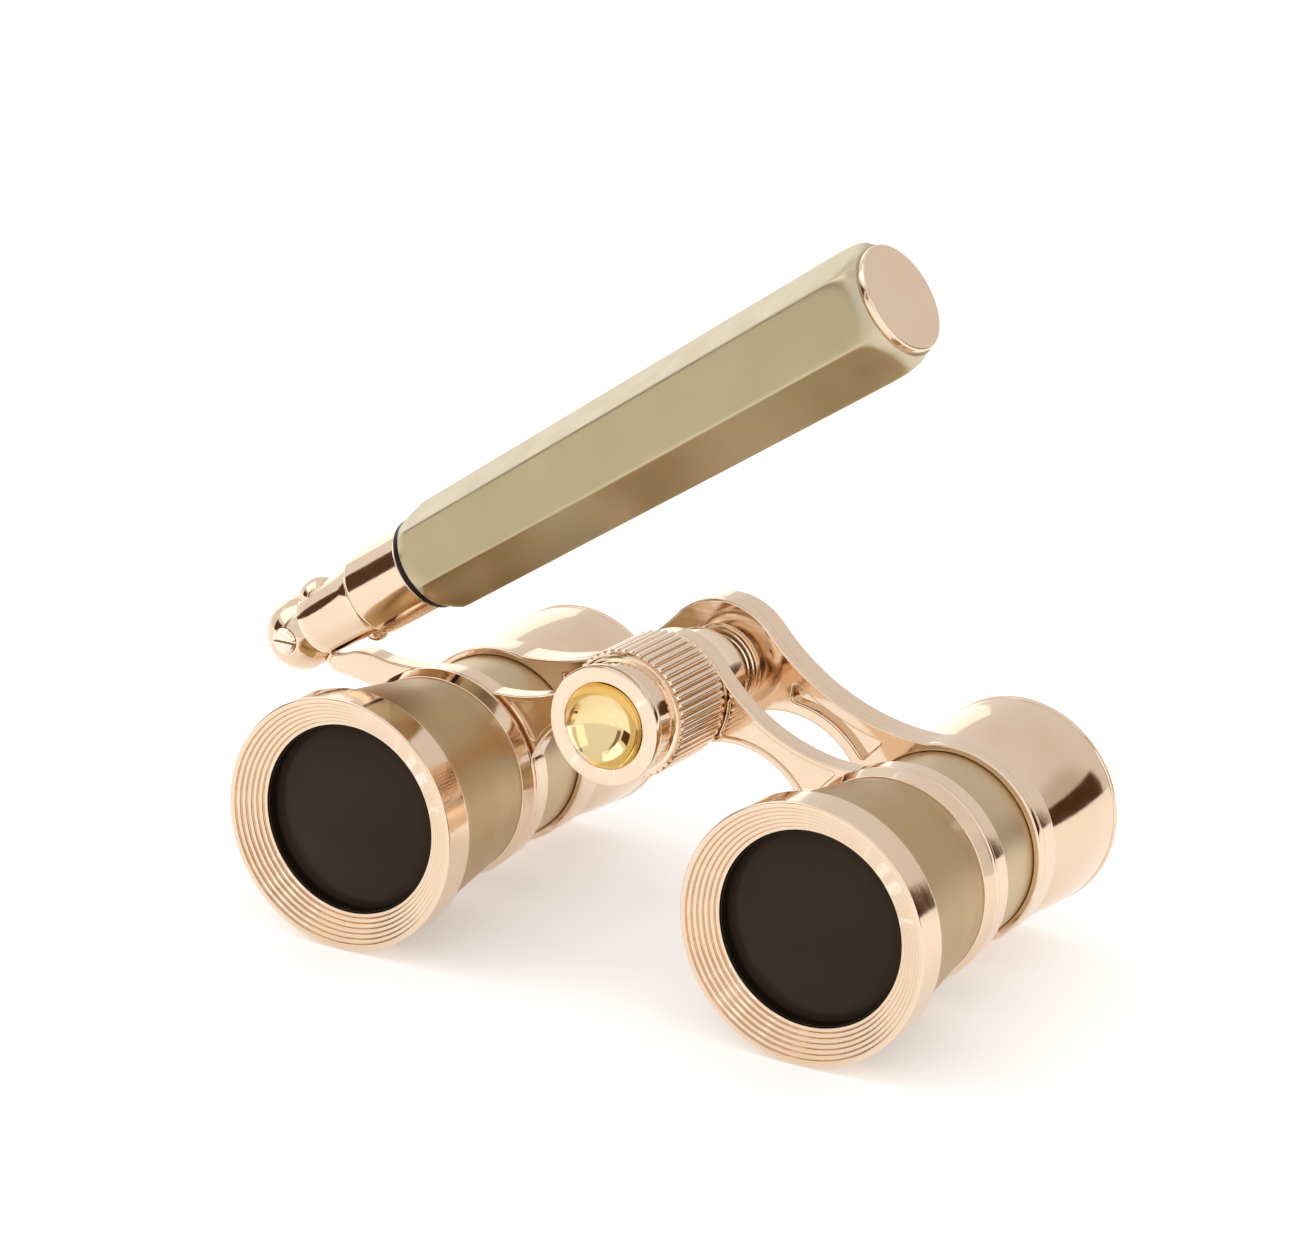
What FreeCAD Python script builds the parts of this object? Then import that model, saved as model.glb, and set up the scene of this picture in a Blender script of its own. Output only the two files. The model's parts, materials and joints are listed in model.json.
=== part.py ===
import FreeCAD, Part
import Sketcher
import math
import os
from FreeCAD import Placement, Rotation, Vector

# Opera glasses with a folding, telescoping side handle. Millimetres, +Z up.
# The two optical axes are parallel to Y, with the objectives facing -Y and the eyecups facing +Y.
# Places are first counted from the point midway between the two objective front faces, on the
# height of the optical axes. The row origin is the middle of the object's foot print on the floor.

os.makedirs("parts", exist_ok=True)
doc = FreeCAD.newDocument("opera_glasses")

DIMENSIONS = {
    # the two barrels
    "axis_half": 32.5,
    "ring_radius": 16.3,
    "ring_depth": 4.8,
    "ring_edge": 0.3,
    "ring_land": 0.6,
    "step_count": 6,
    "tread_share": 0.75,
    "opening_radius": 12.05,
    "opening_depth": 2.3,
    "clamp_end": 3.9,
    "seat_radius": 12.95,
    "spigot_radius": 14.6,
    "spigot_front": 2.4,
    "barrel_front_radius": 15.4,
    "barrel_rear_radius": 12.95,
    "barrel_cone_end": 22.0,
    "barrel_tail_radius": 12.7,
    "barrel_tail_end": 27.6,
    "slide_bore_radius": 12.16,
    "shoulder_radius": 11.7,
    "shoulder_depth": 1.0,
    # objective lens, a cemented pair
    "lens_radius": 12.9,
    "lens_front": 4.2,
    "cement_edge": 5.0,
    "lens_rear": 8.2,
    "lens_front_curve": 45.0,
    "cement_curve": 60.0,
    # draw tubes and eyecups
    "tube_radius": 12.1,
    "tube_bore": 11.5,
    "tube_front": 14.0,
    "eyecup_rear": 57.7,
    "eyecup_neck": 11.8,
    "eyecup_rim": 13.76,
    "eyecup_rim_inner": 12.5,
    "eyecup_flare_curve": 60.0,
    "eyecup_spigot": 4.0,
    "eyecup_pocket": 10.7,
    "eyecup_floor": 48.5,
    "eyecup_dish_curve": 16.0,
    "eye_lens_radius": 8.0,
    "eye_lens_seat": 7.3,
    "eye_lens_front": 44.6,
    "eye_lens_rear": 47.0,
    "eye_lens_curve": 45.0,
    "eye_lens_ring_depth": 1.4,
    "eye_lens_ring_bore": 7.1,
    # front bridge
    "plate_front": 24.6,
    "plate_depth": 3.0,
    "collar_front_radius": 13.2,
    "collar_rear_radius": 13.8,
    "collar_groove": 0.5,
    "plate_ring_radius": 13.5,
    "hub_height": 17.0,
    "hub_radius": 7.5,
    "web_headroom": 5.0,
    "saddle_x": 25.5,
    "saddle_z": 36.4,
    "saddle_radius": 24.5,
    "arch_x": 8.9,
    "arch_z": 0.6,
    "arch_radius": 11.4,
    "bead_width": 0.7,
    "bead_height": 0.3,
    # rear bridge
    "rear_front": 37.0,
    "rear_depth": 4.5,
    "rear_ring_radius": 13.1,
    "rear_hub_radius": 8.8,
    "rear_saddle_x": 29.0,
    "rear_saddle_z": 42.7,
    "rear_saddle_radius": 30.0,
    "rear_arch_x": 9.6,
    "rear_arch_z": 1.4,
    "rear_arch_radius": 11.4,
    "rim_width": 1.8,
    "rim_height": 1.0,
    # focusing wheel and screw
    "dish_front": 8.5,
    "dish_radius": 7.56,
    "dish_hollow": 5.4,
    "dish_bottom": 11.8,
    "dish_neck": 7.15,
    "dish_neck_front": 10.2,
    "dish_land": 1.1,
    "dish_spigot": 4.0,
    "dish_spigot_end": 17.0,
    "drum_front": 13.3,
    "drum_rear": 24.4,
    "drum_radius": 8.2,
    "drum_chamfer": 0.5,
    "drum_shoulder": 0.8,
    "flute_radius": 0.35,
    "flute_out": 0.15,
    "flute_count": 48,
    "spindle_radius": 2.0,
    "screw_radius": 1.7,
    "screw_front": 34.3,
    "screw_rear": 43.5,
    "collar_radius": 2.8,
    "collar_depth": 1.7,
    "running_gap": 0.06,
    "end_play": 0.1,
    "sleeve_radius": 6.3,
    "sleeve_end": 34.2,
    "sleeve_round": 1.8,
    "sleeve_pocket_end": 29.5,
    "nut_radius": 4.2,
    "nut_front": 35.9,
    "nut_nose_radius": 2.5,
    "nut_flange": 5.6,
    "nut_flange_front": 36.5,
    "hub_cap_radius": 5.6,
    "hub_cap_bore": 2.3,
    "hub_cap_rear": 46.6,
    "hub_cap_round": 1.6,
    "hub_cap_wall": 1.2,
    # handle joint
    "pivot_offset": 55.4,
    "pivot_height": 13.9,
    "handle_rise": 34.2,
    "ball_radius": 4.9,
    "slot_width": 2.3,
    "slot_reach": 8.6,
    "slot_reach_above": 3.8,
    "tongue_depth": 2.0,
    "eye_radius": 3.6,
    "pivot_radius": 1.5,
    "pivot_gap": 0.05,
    "screw_head_radius": 1.7,
    "screw_head_depth": 1.0,
    "screw_head_proud": 0.15,
    "screw_slot": 0.4,
    "tongue_reach": 6.4,
    "tongue_top": 1.6,
    "arm_near": 5.1,
    "arm_shoulder": 8.6,
    "arm_bend": 15.4,
    "arm_far": 21.0,
    "arm_end": 27.0,
    "arm_top_near": 1.9,
    "arm_top_shoulder": -0.5,
    "arm_top_bend": 1.0,
    "arm_top_far": 0.5,
    "arm_top_end": 1.6,
    "arm_low_near": 3.6,
    "arm_low_bend": 5.4,
    "arm_low_far": 6.5,
    "neck_start": 3.2,
    "neck_radius": 4.4,
    "neck_end": 12.4,
    "neck_wide_radius": 5.0,
    "neck_groove_radius": 4.7,
    "neck_groove_end": 12.9,
    "ferrule_radius": 5.7,
    "ferrule_end": 22.2,
    "ferrule_edge": 0.4,
    "dome_radius": 2.7,
    "dome_along": 4.8,
    "dome_up": 3.0,
    "lug_radius": 1.6,
    "lug_along": 10.6,
    "lug_down": 4.1,
    # handle
    "inner_tube_radius": 3.45,
    "inner_tube_bore": 2.4,
    "inner_tube_start": 14.0,
    "inner_tube_end": 80.0,
    "groove_radius": 3.0,
    "groove_start": 74.0,
    "groove_end": 79.2,
    "bush_radius": 4.15,
    "handle_bore": 4.2,
    "mouth_start": 22.3,
    "mouth_lip_radius": 6.2,
    "mouth_lip_end": 23.3,
    "mouth_end": 27.7,
    "mouth_bore": 3.52,
    "hex_start": 23.3,
    "hex_mouth_radius": 6.25,
    "hex_cone_end": 25.2,
    "hex_cone_radius": 7.5,
    "hex_near_radius": 7.25,
    "hex_far_radius": 8.6,
    "hex_turn": 9.0,
    "hex_round_start": 95.6,
    "hex_round_radius": 9.0,
    "hex_end": 100.6,
    "hex_end_radius": 7.1,
    "hex_round_curve": 7.0,
    "end_cap_radius": 6.95,
    "end_cap_rear": 101.6,
    "end_cap_edge": 0.35,
    "end_cap_plug": 6.0,
}

sheet = doc.addObject("Spreadsheet::Sheet", "sizes")
for row, (alias, number) in enumerate(DIMENSIONS.items(), start=1):
    sheet.set("A%d" % row, alias)
    sheet.set("B%d" % row, str(number))
    sheet.setAlias("B%d" % row, alias)
doc.recompute()


class Size:
    """A length that keeps its number together with the sheet expression that gives it."""

    def __init__(self, number, text):
        self.number = number
        self.text = text

    def __add__(self, other):
        other = size(other)
        return Size(self.number + other.number, "(%s + %s)" % (self.text, other.text))

    def __sub__(self, other):
        other = size(other)
        return Size(self.number - other.number, "(%s - %s)" % (self.text, other.text))

    def __mul__(self, other):
        other = size(other)
        return Size(self.number * other.number, "(%s * %s)" % (self.text, other.text))

    def __truediv__(self, other):
        other = size(other)
        return Size(self.number / other.number, "(%s / %s)" % (self.text, other.text))

    def __neg__(self):
        return Size(-self.number, "(0 - %s)" % self.text)

    def root(self):
        return Size(math.sqrt(self.number), "sqrt(%s)" % self.text)


def size(value):
    """A Size from a Size, an alias in the sheet or a plain number."""
    if isinstance(value, Size):
        return value
    if isinstance(value, str):
        return Size(DIMENSIONS[value], "sizes." + value)
    return Size(value, repr(value))


def sag(curve, radius):
    """How far a sphere of the radius curve falls away at the distance radius from its axis."""
    curve = size(curve)
    radius = size(radius)
    return curve - (curve * curve - radius * radius).root()


# From the point between the objectives to the row origin.
ORIGIN_X = (size("pivot_offset") + "ball_radius" - "axis_half" - "ring_radius") / 2
ORIGIN_Y = -size("eyecup_rear") / 2
ORIGIN_Z = size("ring_radius")
PLATE_MIDDLE = size("plate_front") + size("plate_depth") / 2
LEFT = -1
RIGHT = 1
SIDES = (("left", LEFT), ("right", RIGHT))
ALONG_Y = Rotation(Vector(1, 0, 0), -90)

subparts = []


def bind(thing, name, value):
    thing.setExpression(name, size(value).text)


def place(thing, x, y, z, turn=Rotation()):
    """Put a thing's own origin at a place counted from between the objectives."""
    thing.Placement = Placement(Vector(0, 0, 0), turn)
    bind(thing, "Placement.Base.x", ORIGIN_X + x)
    bind(thing, "Placement.Base.y", ORIGIN_Y + y)
    bind(thing, "Placement.Base.z", ORIGIN_Z + z)


def place_on_axis(thing, x, z):
    """Turn a thing's own +Z along the optical direction, with its origin level with the objectives."""
    place(thing, x, 0, z, ALONG_Y)


def place_on_handle(thing):
    """Turn a thing's own +Z along the handle, with its origin at the pivot. Own -X is the upper side."""
    place(thing, -size("pivot_offset"), PLATE_MIDDLE, "pivot_height", Rotation(Vector(0, 1, 0), 45))
    bind(thing, "Placement.Rotation.Angle", size(90) - "handle_rise")


def keep(thing, label):
    """Name a finished sub-part."""
    thing.Label = label
    subparts.append(thing)
    return thing


def origin_plane(body, role):
    return next(plane for plane in body.Origin.OriginFeatures if plane.Role == role)


def segment(start, end, curve):
    """A straight edge, or an arc of the radius curve. A positive curve bends left of the way along."""
    if curve is None:
        return Part.LineSegment(start, end)
    middle = (start + end) / 2
    half = (end - start).Length / 2
    along = (end - start).normalize()
    left = Vector(-along.y, along.x, 0)
    radius = abs(curve.number)
    bulge = radius - math.sqrt(radius * radius - half * half)
    side = 1 if curve.number > 0 else -1
    return Part.Arc(start, middle + left * (side * bulge), end)


def outline(body, name, points, role="XZ_Plane"):
    """A closed sketch through points, each (across, up) or (across, up, radius of the arc to the next)."""
    sketch = body.newObject("Sketcher::SketchObject", name)
    sketch.AttachmentSupport = (origin_plane(body, role), [""])
    sketch.MapMode = "FlatFace"
    corners = [(size(point[0]), size(point[1])) for point in points]
    curves = [size(point[2]) if len(point) > 2 else None for point in points]
    places = [Vector(across.number, up.number, 0) for across, up in corners]
    count = len(points)
    for index in range(count):
        sketch.addGeometry(segment(places[index], places[(index + 1) % count], curves[index]))

    def tip(index, place_there):
        first = sketch.getPoint(index, 1)
        last = sketch.getPoint(index, 2)
        return 1 if (first - place_there).Length < (last - place_there).Length else 2

    for index in range(count):
        after = (index + 1) % count
        corner = places[after]
        sketch.addConstraint(
            Sketcher.Constraint("Coincident", index, tip(index, corner), after, tip(after, corner)))
    for index, (across, up) in enumerate(corners):
        end = tip(index, places[index])
        if abs(across.number) < 1e-9:
            sketch.addConstraint(Sketcher.Constraint("PointOnObject", index, end, -2))
        else:
            number = sketch.addConstraint(
                Sketcher.Constraint("DistanceX", -1, 1, index, end, across.number))
            bind(sketch, "Constraints[%d]" % number, across)
        if abs(up.number) < 1e-9:
            sketch.addConstraint(Sketcher.Constraint("PointOnObject", index, end, -1))
        else:
            number = sketch.addConstraint(Sketcher.Constraint("DistanceY", -1, 1, index, end, up.number))
            bind(sketch, "Constraints[%d]" % number, up)
    for index, curve in enumerate(curves):
        if curve is not None:
            radius = curve if curve.number > 0 else -curve
            number = sketch.addConstraint(Sketcher.Constraint("Radius", index, radius.number))
            bind(sketch, "Constraints[%d]" % number, radius)
    return sketch


def turned(name, points):
    """A body turned about its own Z from a half section of (radius, distance along) points."""
    body = doc.addObject("PartDesign::Body", name)
    sketch = outline(body, name + "_section", points)
    revolution = body.newObject("PartDesign::Revolution", name + "_turned")
    revolution.Profile = sketch
    revolution.ReferenceAxis = (sketch, ["V_Axis"])
    revolution.Angle = 360
    return body


def padded(name, points, depth):
    """A plate in the XZ plane, with half its depth on each side."""
    body = doc.addObject("PartDesign::Body", name)
    sketch = outline(body, name + "_outline", points)
    pad = body.newObject("PartDesign::Pad", name + "_pad")
    pad.Profile = sketch
    pad.Midplane = True
    bind(pad, "Length", depth)
    return body


def rod(name, x, start, z, radius, length):
    """A cylinder parallel to the optical axes."""
    cylinder = doc.addObject("Part::Cylinder", name)
    bind(cylinder, "Radius", radius)
    bind(cylinder, "Height", length)
    place(cylinder, x, start, z, ALONG_Y)
    return cylinder


def cone(name, x, start, z, near_radius, far_radius, length):
    """A cone parallel to the optical axes, widening from its front to its rear."""
    frustum = doc.addObject("Part::Cone", name)
    bind(frustum, "Radius1", near_radius)
    bind(frustum, "Radius2", far_radius)
    bind(frustum, "Height", length)
    place(frustum, x, start, z, ALONG_Y)
    return frustum


def block(name, x, y, z, length, width, height):
    """A box from its corner of least x, y and z."""
    box = doc.addObject("Part::Box", name)
    bind(box, "Length", length)
    bind(box, "Width", width)
    bind(box, "Height", height)
    place(box, x, y, z)
    return box


def fused(name, pieces):
    fuse = doc.addObject("Part::MultiFuse", name)
    fuse.Shapes = pieces
    return fuse


def without(name, base, tools):
    """The base with every tool cut away."""
    cut = doc.addObject("Part::Cut", name)
    cut.Base = base
    cut.Tool = tools[0] if len(tools) == 1 else fused(name + "_tools", tools)
    return cut


# ---- barrels ---------------------------------------------------------------------------------

def objective_ring(label, side):
    """The gold ring at the front: turned steps round the opening, a skirt over the barrel's
    spigot, and an inner sleeve that holds the lens against the barrel's shoulder."""
    steps = int(size("step_count").number)
    outer = size("ring_radius") - "ring_land"
    tread = (outer - "opening_radius") / steps
    riser = size("opening_depth") / steps
    points = [(outer, 0), (size("ring_radius") - "ring_edge", 0), ("ring_radius", "ring_edge")]
    points += [("ring_radius", size("ring_depth") - "ring_edge")]
    points += [(size("ring_radius") - "ring_edge", "ring_depth"), ("spigot_radius", "ring_depth")]
    points += [("spigot_radius", "spigot_front"), ("seat_radius", "spigot_front")]
    points += [("seat_radius", "clamp_end"), ("opening_radius", "clamp_end")]
    for step in range(steps, 0, -1):
        edge = outer - tread * step
        points.append((edge, riser * step))
        points.append((edge + tread * "tread_share", riser * step))
    ring = keep(turned(label, points), label)
    place_on_axis(ring, size("axis_half") * side, 0)


def barrel(label, side):
    """The satin cone between the objective ring and the front bridge. Its spigot is in the
    ring, its tail in the bridge, and its bore guides the draw tube."""
    points = [("seat_radius", "spigot_front"), ("spigot_radius", "spigot_front")]
    points += [("spigot_radius", "ring_depth"), ("barrel_front_radius", "ring_depth")]
    points += [("barrel_rear_radius", "barrel_cone_end"), ("barrel_tail_radius", "barrel_cone_end")]
    points += [("barrel_tail_radius", "barrel_tail_end"), ("slide_bore_radius", "barrel_tail_end")]
    rib_end = size("lens_rear") + "shoulder_depth"
    points += [("slide_bore_radius", rib_end), ("shoulder_radius", rib_end)]
    points += [("shoulder_radius", "lens_rear"), ("seat_radius", "lens_rear")]
    cone_piece = keep(turned(label, points), label)
    place_on_axis(cone_piece, size("axis_half") * side, 0)


def objective_crown(label, side):
    """The biconvex front element of the objective."""
    front = size("lens_front") - sag("lens_front_curve", "lens_radius")
    rear = size("cement_edge") + sag("cement_curve", "lens_radius")
    points = [(0, front, -size("lens_front_curve")), ("lens_radius", "lens_front")]
    points += [("lens_radius", "cement_edge", -size("cement_curve")), (0, rear)]
    lens = keep(turned(label, points), label)
    place_on_axis(lens, size("axis_half") * side, 0)


def objective_flint(label, side):
    """The rear element, hollow towards the crown and flat behind."""
    rear = size("cement_edge") + sag("cement_curve", "lens_radius")
    points = [(0, rear, "cement_curve"), ("lens_radius", "cement_edge")]
    points += [("lens_radius", "lens_rear"), (0, "lens_rear")]
    lens = keep(turned(label, points), label)
    place_on_axis(lens, size("axis_half") * side, 0)


def draw_tube(label, side):
    """The tube that slides in the barrel and carries the eyecup."""
    rear = size("rear_front") + "rear_depth"
    points = [("tube_bore", "tube_front"), ("tube_radius", "tube_front")]
    points += [("tube_radius", rear), ("tube_bore", rear)]
    tube = keep(turned(label, points), label)
    place_on_axis(tube, size("axis_half") * side, 0)


def eyecup(label, side):
    """The flared cup behind the rear bridge, with a spigot in the draw tube, a dish for the eye
    and a seat for the eye lens."""
    neck = size("rear_front") + "rear_depth"
    spigot = neck - "eyecup_spigot"
    points = [("tube_bore", spigot), ("tube_bore", neck), ("eyecup_neck", neck, "eyecup_flare_curve")]
    points += [("eyecup_rim", size("eyecup_rear") - "ring_edge")]
    points += [(size("eyecup_rim") - "ring_edge", "eyecup_rear")]
    points += [("eyecup_rim_inner", "eyecup_rear", -size("eyecup_dish_curve"))]
    points += [("eye_lens_radius", "eyecup_floor"), ("eye_lens_seat", "eyecup_floor")]
    points += [("eye_lens_seat", "eye_lens_rear"), ("eye_lens_radius", "eye_lens_rear")]
    points += [("eye_lens_radius", neck), ("eyecup_pocket", neck), ("eyecup_pocket", spigot)]
    cup = keep(turned(label, points), label)
    place_on_axis(cup, size("axis_half") * side, 0)


def eye_lens(label, side):
    """The biconcave lens next to the eye."""
    hollow = sag("eye_lens_curve", "eye_lens_radius")
    points = [(0, size("eye_lens_front") + hollow, "eye_lens_curve")]
    points += [("eye_lens_radius", "eye_lens_front")]
    points += [("eye_lens_radius", "eye_lens_rear", "eye_lens_curve")]
    points += [(0, size("eye_lens_rear") - hollow)]
    lens = keep(turned(label, points), label)
    place_on_axis(lens, size("axis_half") * side, 0)


def eye_lens_ring(label, side):
    """The ring that holds the eye lens from the front."""
    front = size("eye_lens_front") - "eye_lens_ring_depth"
    points = [("eye_lens_ring_bore", front), ("eye_lens_radius", front)]
    points += [("eye_lens_radius", "eye_lens_front"), ("eye_lens_ring_bore", "eye_lens_front")]
    ring = keep(turned(label, points), label)
    place_on_axis(ring, size("axis_half") * side, 0)


# ---- bridges ---------------------------------------------------------------------------------

def web(name, start, depth, saddle, arch, grow):
    """The plate between the hub and the rings: a slab with a hollow saddle on each side above and
    an arch on each side below. Growing the hollows draws the edge in."""
    length = size("axis_half") * 2
    slab_height = size("hub_height") + "web_headroom"
    slab = block(name + "_slab", -size("axis_half"), start, 0, length, depth, slab_height)
    tools = []
    for side_name, side in SIDES:
        for hollow_name, (x, z, radius) in (("saddle", saddle), ("arch", arch)):
            tool_name = "_".join((name, side_name, hollow_name))
            tools.append(rod(tool_name, size(x) * side, start, z, size(radius) + grow, depth))
    return without(name + "_web", slab, tools)


def panel(name, start, depth, saddle, arch, hub_radius, ring_radius, grow):
    """The shallow field inside the rim of a bridge."""
    field = web(name, start, depth, saddle, arch, grow)
    tools = [rod(name + "_hub", 0, start, "hub_height", size(hub_radius) + grow, depth)]
    for side_name, side in SIDES:
        x = size("axis_half") * side
        tools.append(rod(name + "_" + side_name, x, start, 0, size(ring_radius) + grow, depth))
    return without(name + "_field", field, tools)


def arm_pieces():
    """The strap that rises from the left ring towards the handle and passes under its neck, and
    the thinner tongue with its eye in the fork. Heights are counted from the pivot."""
    level = size("pivot_height")

    def at_pivot(body):
        place(body, -size("pivot_offset"), PLATE_MIDDLE, 0)
        return body

    points = [("arm_near", level - "arm_low_near"), ("arm_bend", level - "arm_low_bend")]
    points += [("arm_end", level - "arm_low_far"), ("arm_end", level - "arm_top_end")]
    points += [("arm_far", level - "arm_top_far"), ("arm_bend", level - "arm_top_bend")]
    points += [("arm_shoulder", level + "arm_top_shoulder")]
    points += [("arm_near", level - "arm_top_near")]
    strap = at_pivot(padded("arm_strap", points, "plate_depth"))
    points = [(0, level - "eye_radius"), ("tongue_reach", level - "arm_low_near")]
    points += [("tongue_reach", level), ("eye_radius", level + "tongue_top"), (0, level + "eye_radius")]
    tongue = at_pivot(padded("arm_tongue", points, "tongue_depth"))
    start = PLATE_MIDDLE - size("tongue_depth") / 2
    eye = rod("arm_eye", -size("pivot_offset"), start, "pivot_height", "eye_radius", "tongue_depth")
    return [strap, tongue, eye]


def front_bridge():
    """The gold plate that joins the barrels: hub, webs, rings with their collars, and the arm."""
    saddle = ("saddle_x", "saddle_z", "saddle_radius")
    arch = ("arch_x", "arch_z", "arch_radius")
    start = size("plate_front")
    depth = size("plate_depth")
    pieces = [web("front", start, depth, saddle, arch, 0)]
    pieces.append(rod("front_hub", 0, start, "hub_height", "hub_radius", depth))
    collar_length = start - "barrel_cone_end" - "collar_groove"
    bores = [rod("front_hub_bore", 0, start, "hub_height", size("spindle_radius") + "running_gap", depth)]
    for side_name, side in SIDES:
        x = size("axis_half") * side
        pieces.append(rod("front_ring_" + side_name, x, start, 0, "plate_ring_radius", depth))
        pieces.append(cone("collar_" + side_name, x, "barrel_cone_end", 0, "collar_front_radius",
                           "collar_rear_radius", collar_length))
        groove_start = start - "collar_groove"
        pieces.append(rod("groove_" + side_name, x, groove_start, 0, "collar_front_radius",
                          "collar_groove"))
        bore_length = depth + start - "barrel_cone_end"
        bores.append(rod("barrel_bore_" + side_name, x, "barrel_cone_end", 0, "barrel_tail_radius",
                         bore_length))
    pieces += arm_pieces()
    eye_bore = size("pivot_radius") + "pivot_gap"
    bores.append(rod("eye_bore", -size("pivot_offset"), start, "pivot_height", eye_bore, depth))
    bores.append(panel("front_field", start, "bead_height", saddle, arch, "hub_radius",
                       "plate_ring_radius", "bead_width"))
    keep(without("front_bridge", fused("front_blank", pieces), bores), "front_bridge")


def rear_bridge():
    """The gold plate that joins the draw tubes and carries the nut, with a raised rim in front."""
    saddle = ("rear_saddle_x", "rear_saddle_z", "rear_saddle_radius")
    arch = ("rear_arch_x", "rear_arch_z", "rear_arch_radius")
    start = size("rear_front")
    depth = size("rear_depth")
    pieces = [web("rear", start, depth, saddle, arch, 0)]
    pieces.append(rod("rear_hub", 0, start, "hub_height", "rear_hub_radius", depth))
    bores = [rod("nut_bore", 0, start, "hub_height", "nut_radius", depth)]
    for side_name, side in SIDES:
        x = size("axis_half") * side
        pieces.append(rod("rear_ring_" + side_name, x, start, 0, "rear_ring_radius", depth))
        bores.append(rod("tube_bore_" + side_name, x, start, 0, "tube_radius", depth))
    bores.append(panel("rear_field", start, "rim_height", saddle, arch, "rear_hub_radius",
                       "rear_ring_radius", "rim_width"))
    keep(without("rear_bridge", fused("rear_blank", pieces), bores), "rear_bridge")


# ---- focusing wheel and screw ----------------------------------------------------------------

def focus_dish():
    """The polished front of the wheel: a flat rim round a round-bottomed hollow."""
    depth = size("dish_bottom") - "dish_front"
    hollow = size("dish_hollow")
    curve = (hollow * hollow + depth * depth) / (depth * 2)
    land_end = size("dish_front") + "dish_land"
    points = [(0, "dish_bottom", curve), ("dish_hollow", "dish_front")]
    points += [(size("dish_radius") - "ring_edge", "dish_front")]
    points += [("dish_radius", size("dish_front") + "ring_edge"), ("dish_radius", land_end)]
    points += [("dish_neck", "dish_neck_front"), ("dish_neck", "drum_front")]
    points += [("dish_spigot", "drum_front"), ("dish_spigot", "dish_spigot_end"), (0, "dish_spigot_end")]
    dish = keep(turned("focus_dish", points), "focus_dish")
    place_on_axis(dish, 0, "hub_height")


def focus_drum():
    """The fluted drum that the finger turns."""
    chamfer = size("drum_radius") - "drum_chamfer"
    points = [("dish_spigot", "drum_front"), (chamfer, "drum_front")]
    points += [("drum_radius", size("drum_front") + "drum_chamfer")]
    shoulder = size("drum_radius") - "drum_shoulder"
    points += [("drum_radius", size("drum_rear") - "drum_shoulder"), (shoulder, "drum_rear")]
    points += [("spindle_radius", "drum_rear"), ("spindle_radius", "dish_spigot_end")]
    points += [("dish_spigot", "dish_spigot_end")]
    drum = turned("focus_drum", points)
    flute = drum.newObject("Sketcher::SketchObject", "flute_section")
    flute.AttachmentSupport = (origin_plane(drum, "XY_Plane"), [""])
    flute.MapMode = "FlatFace"
    centre = size("drum_radius") + "flute_out"
    circle = Part.Circle(Vector(centre.number, 0, 0), Vector(0, 0, 1), size("flute_radius").number)
    flute.addGeometry(circle)
    flute.addConstraint(Sketcher.Constraint("PointOnObject", 0, 3, -1))
    across = flute.addConstraint(Sketcher.Constraint("DistanceX", -1, 1, 0, 3, centre.number))
    radius = flute.addConstraint(Sketcher.Constraint("Radius", 0, size("flute_radius").number))
    bind(flute, "Constraints[%d]" % across, centre)
    bind(flute, "Constraints[%d]" % radius, "flute_radius")
    pocket = drum.newObject("PartDesign::Pocket", "flute")
    pocket.Profile = flute
    pocket.Type = "ThroughAll"
    pocket.Midplane = True
    doc.recompute()
    pattern = drum.newObject("PartDesign::PolarPattern", "flutes")
    pattern.Originals = [pocket]
    pattern.Axis = (flute, ["N_Axis"])
    pattern.Angle = 360
    pattern.Occurrences = int(size("flute_count").number)
    drum.Tip = pattern
    keep(drum, "focus_drum")
    place_on_axis(drum, 0, "hub_height")


def focus_spindle():
    """The shaft from the drum through the front hub, with a collar that keeps it from sliding,
    and the screw that moves the nut."""
    collar_start = size("barrel_tail_end") + "end_play"
    collar_end = collar_start + "collar_depth"
    points = [(0, "dish_spigot_end"), ("spindle_radius", "dish_spigot_end")]
    points += [("spindle_radius", collar_start), ("collar_radius", collar_start)]
    points += [("collar_radius", collar_end), ("spindle_radius", collar_end)]
    points += [("spindle_radius", size("screw_front") - "ring_edge"), ("screw_radius", "screw_front")]
    points += [("screw_radius", "screw_rear"), (0, "screw_rear")]
    spindle = keep(turned("focus_spindle", points), "focus_spindle")
    place_on_axis(spindle, 0, "hub_height")


def spindle_sleeve():
    """The round-ended guide behind the front hub, with a pocket for the spindle's collar."""
    bore = size("spindle_radius") + "running_gap"
    pocket = size("collar_radius") + "end_play"
    points = [(pocket, "barrel_tail_end"), ("sleeve_radius", "barrel_tail_end")]
    points += [("sleeve_radius", size("sleeve_end") - "sleeve_round", -size("sleeve_round"))]
    points += [(size("sleeve_radius") - "sleeve_round", "sleeve_end"), (bore, "sleeve_end")]
    points += [(bore, "sleeve_pocket_end"), (pocket, "sleeve_pocket_end")]
    sleeve = keep(turned("spindle_sleeve", points), "spindle_sleeve")
    place_on_axis(sleeve, 0, "hub_height")


def spindle_nut():
    """The nut in the rear hub, with a stepped nose and a flange in front."""
    bore = size("screw_radius") + "running_gap"
    rear = size("rear_front") + "rear_depth"
    points = [(bore, "nut_front"), ("nut_nose_radius", "nut_front")]
    points += [("nut_nose_radius", "nut_flange_front"), ("nut_flange", "nut_flange_front")]
    points += [("nut_flange", "rear_front"), ("nut_radius", "rear_front")]
    points += [("nut_radius", rear), (bore, rear)]
    nut = keep(turned("spindle_nut", points), "spindle_nut")
    place_on_axis(nut, 0, "hub_height")


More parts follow.
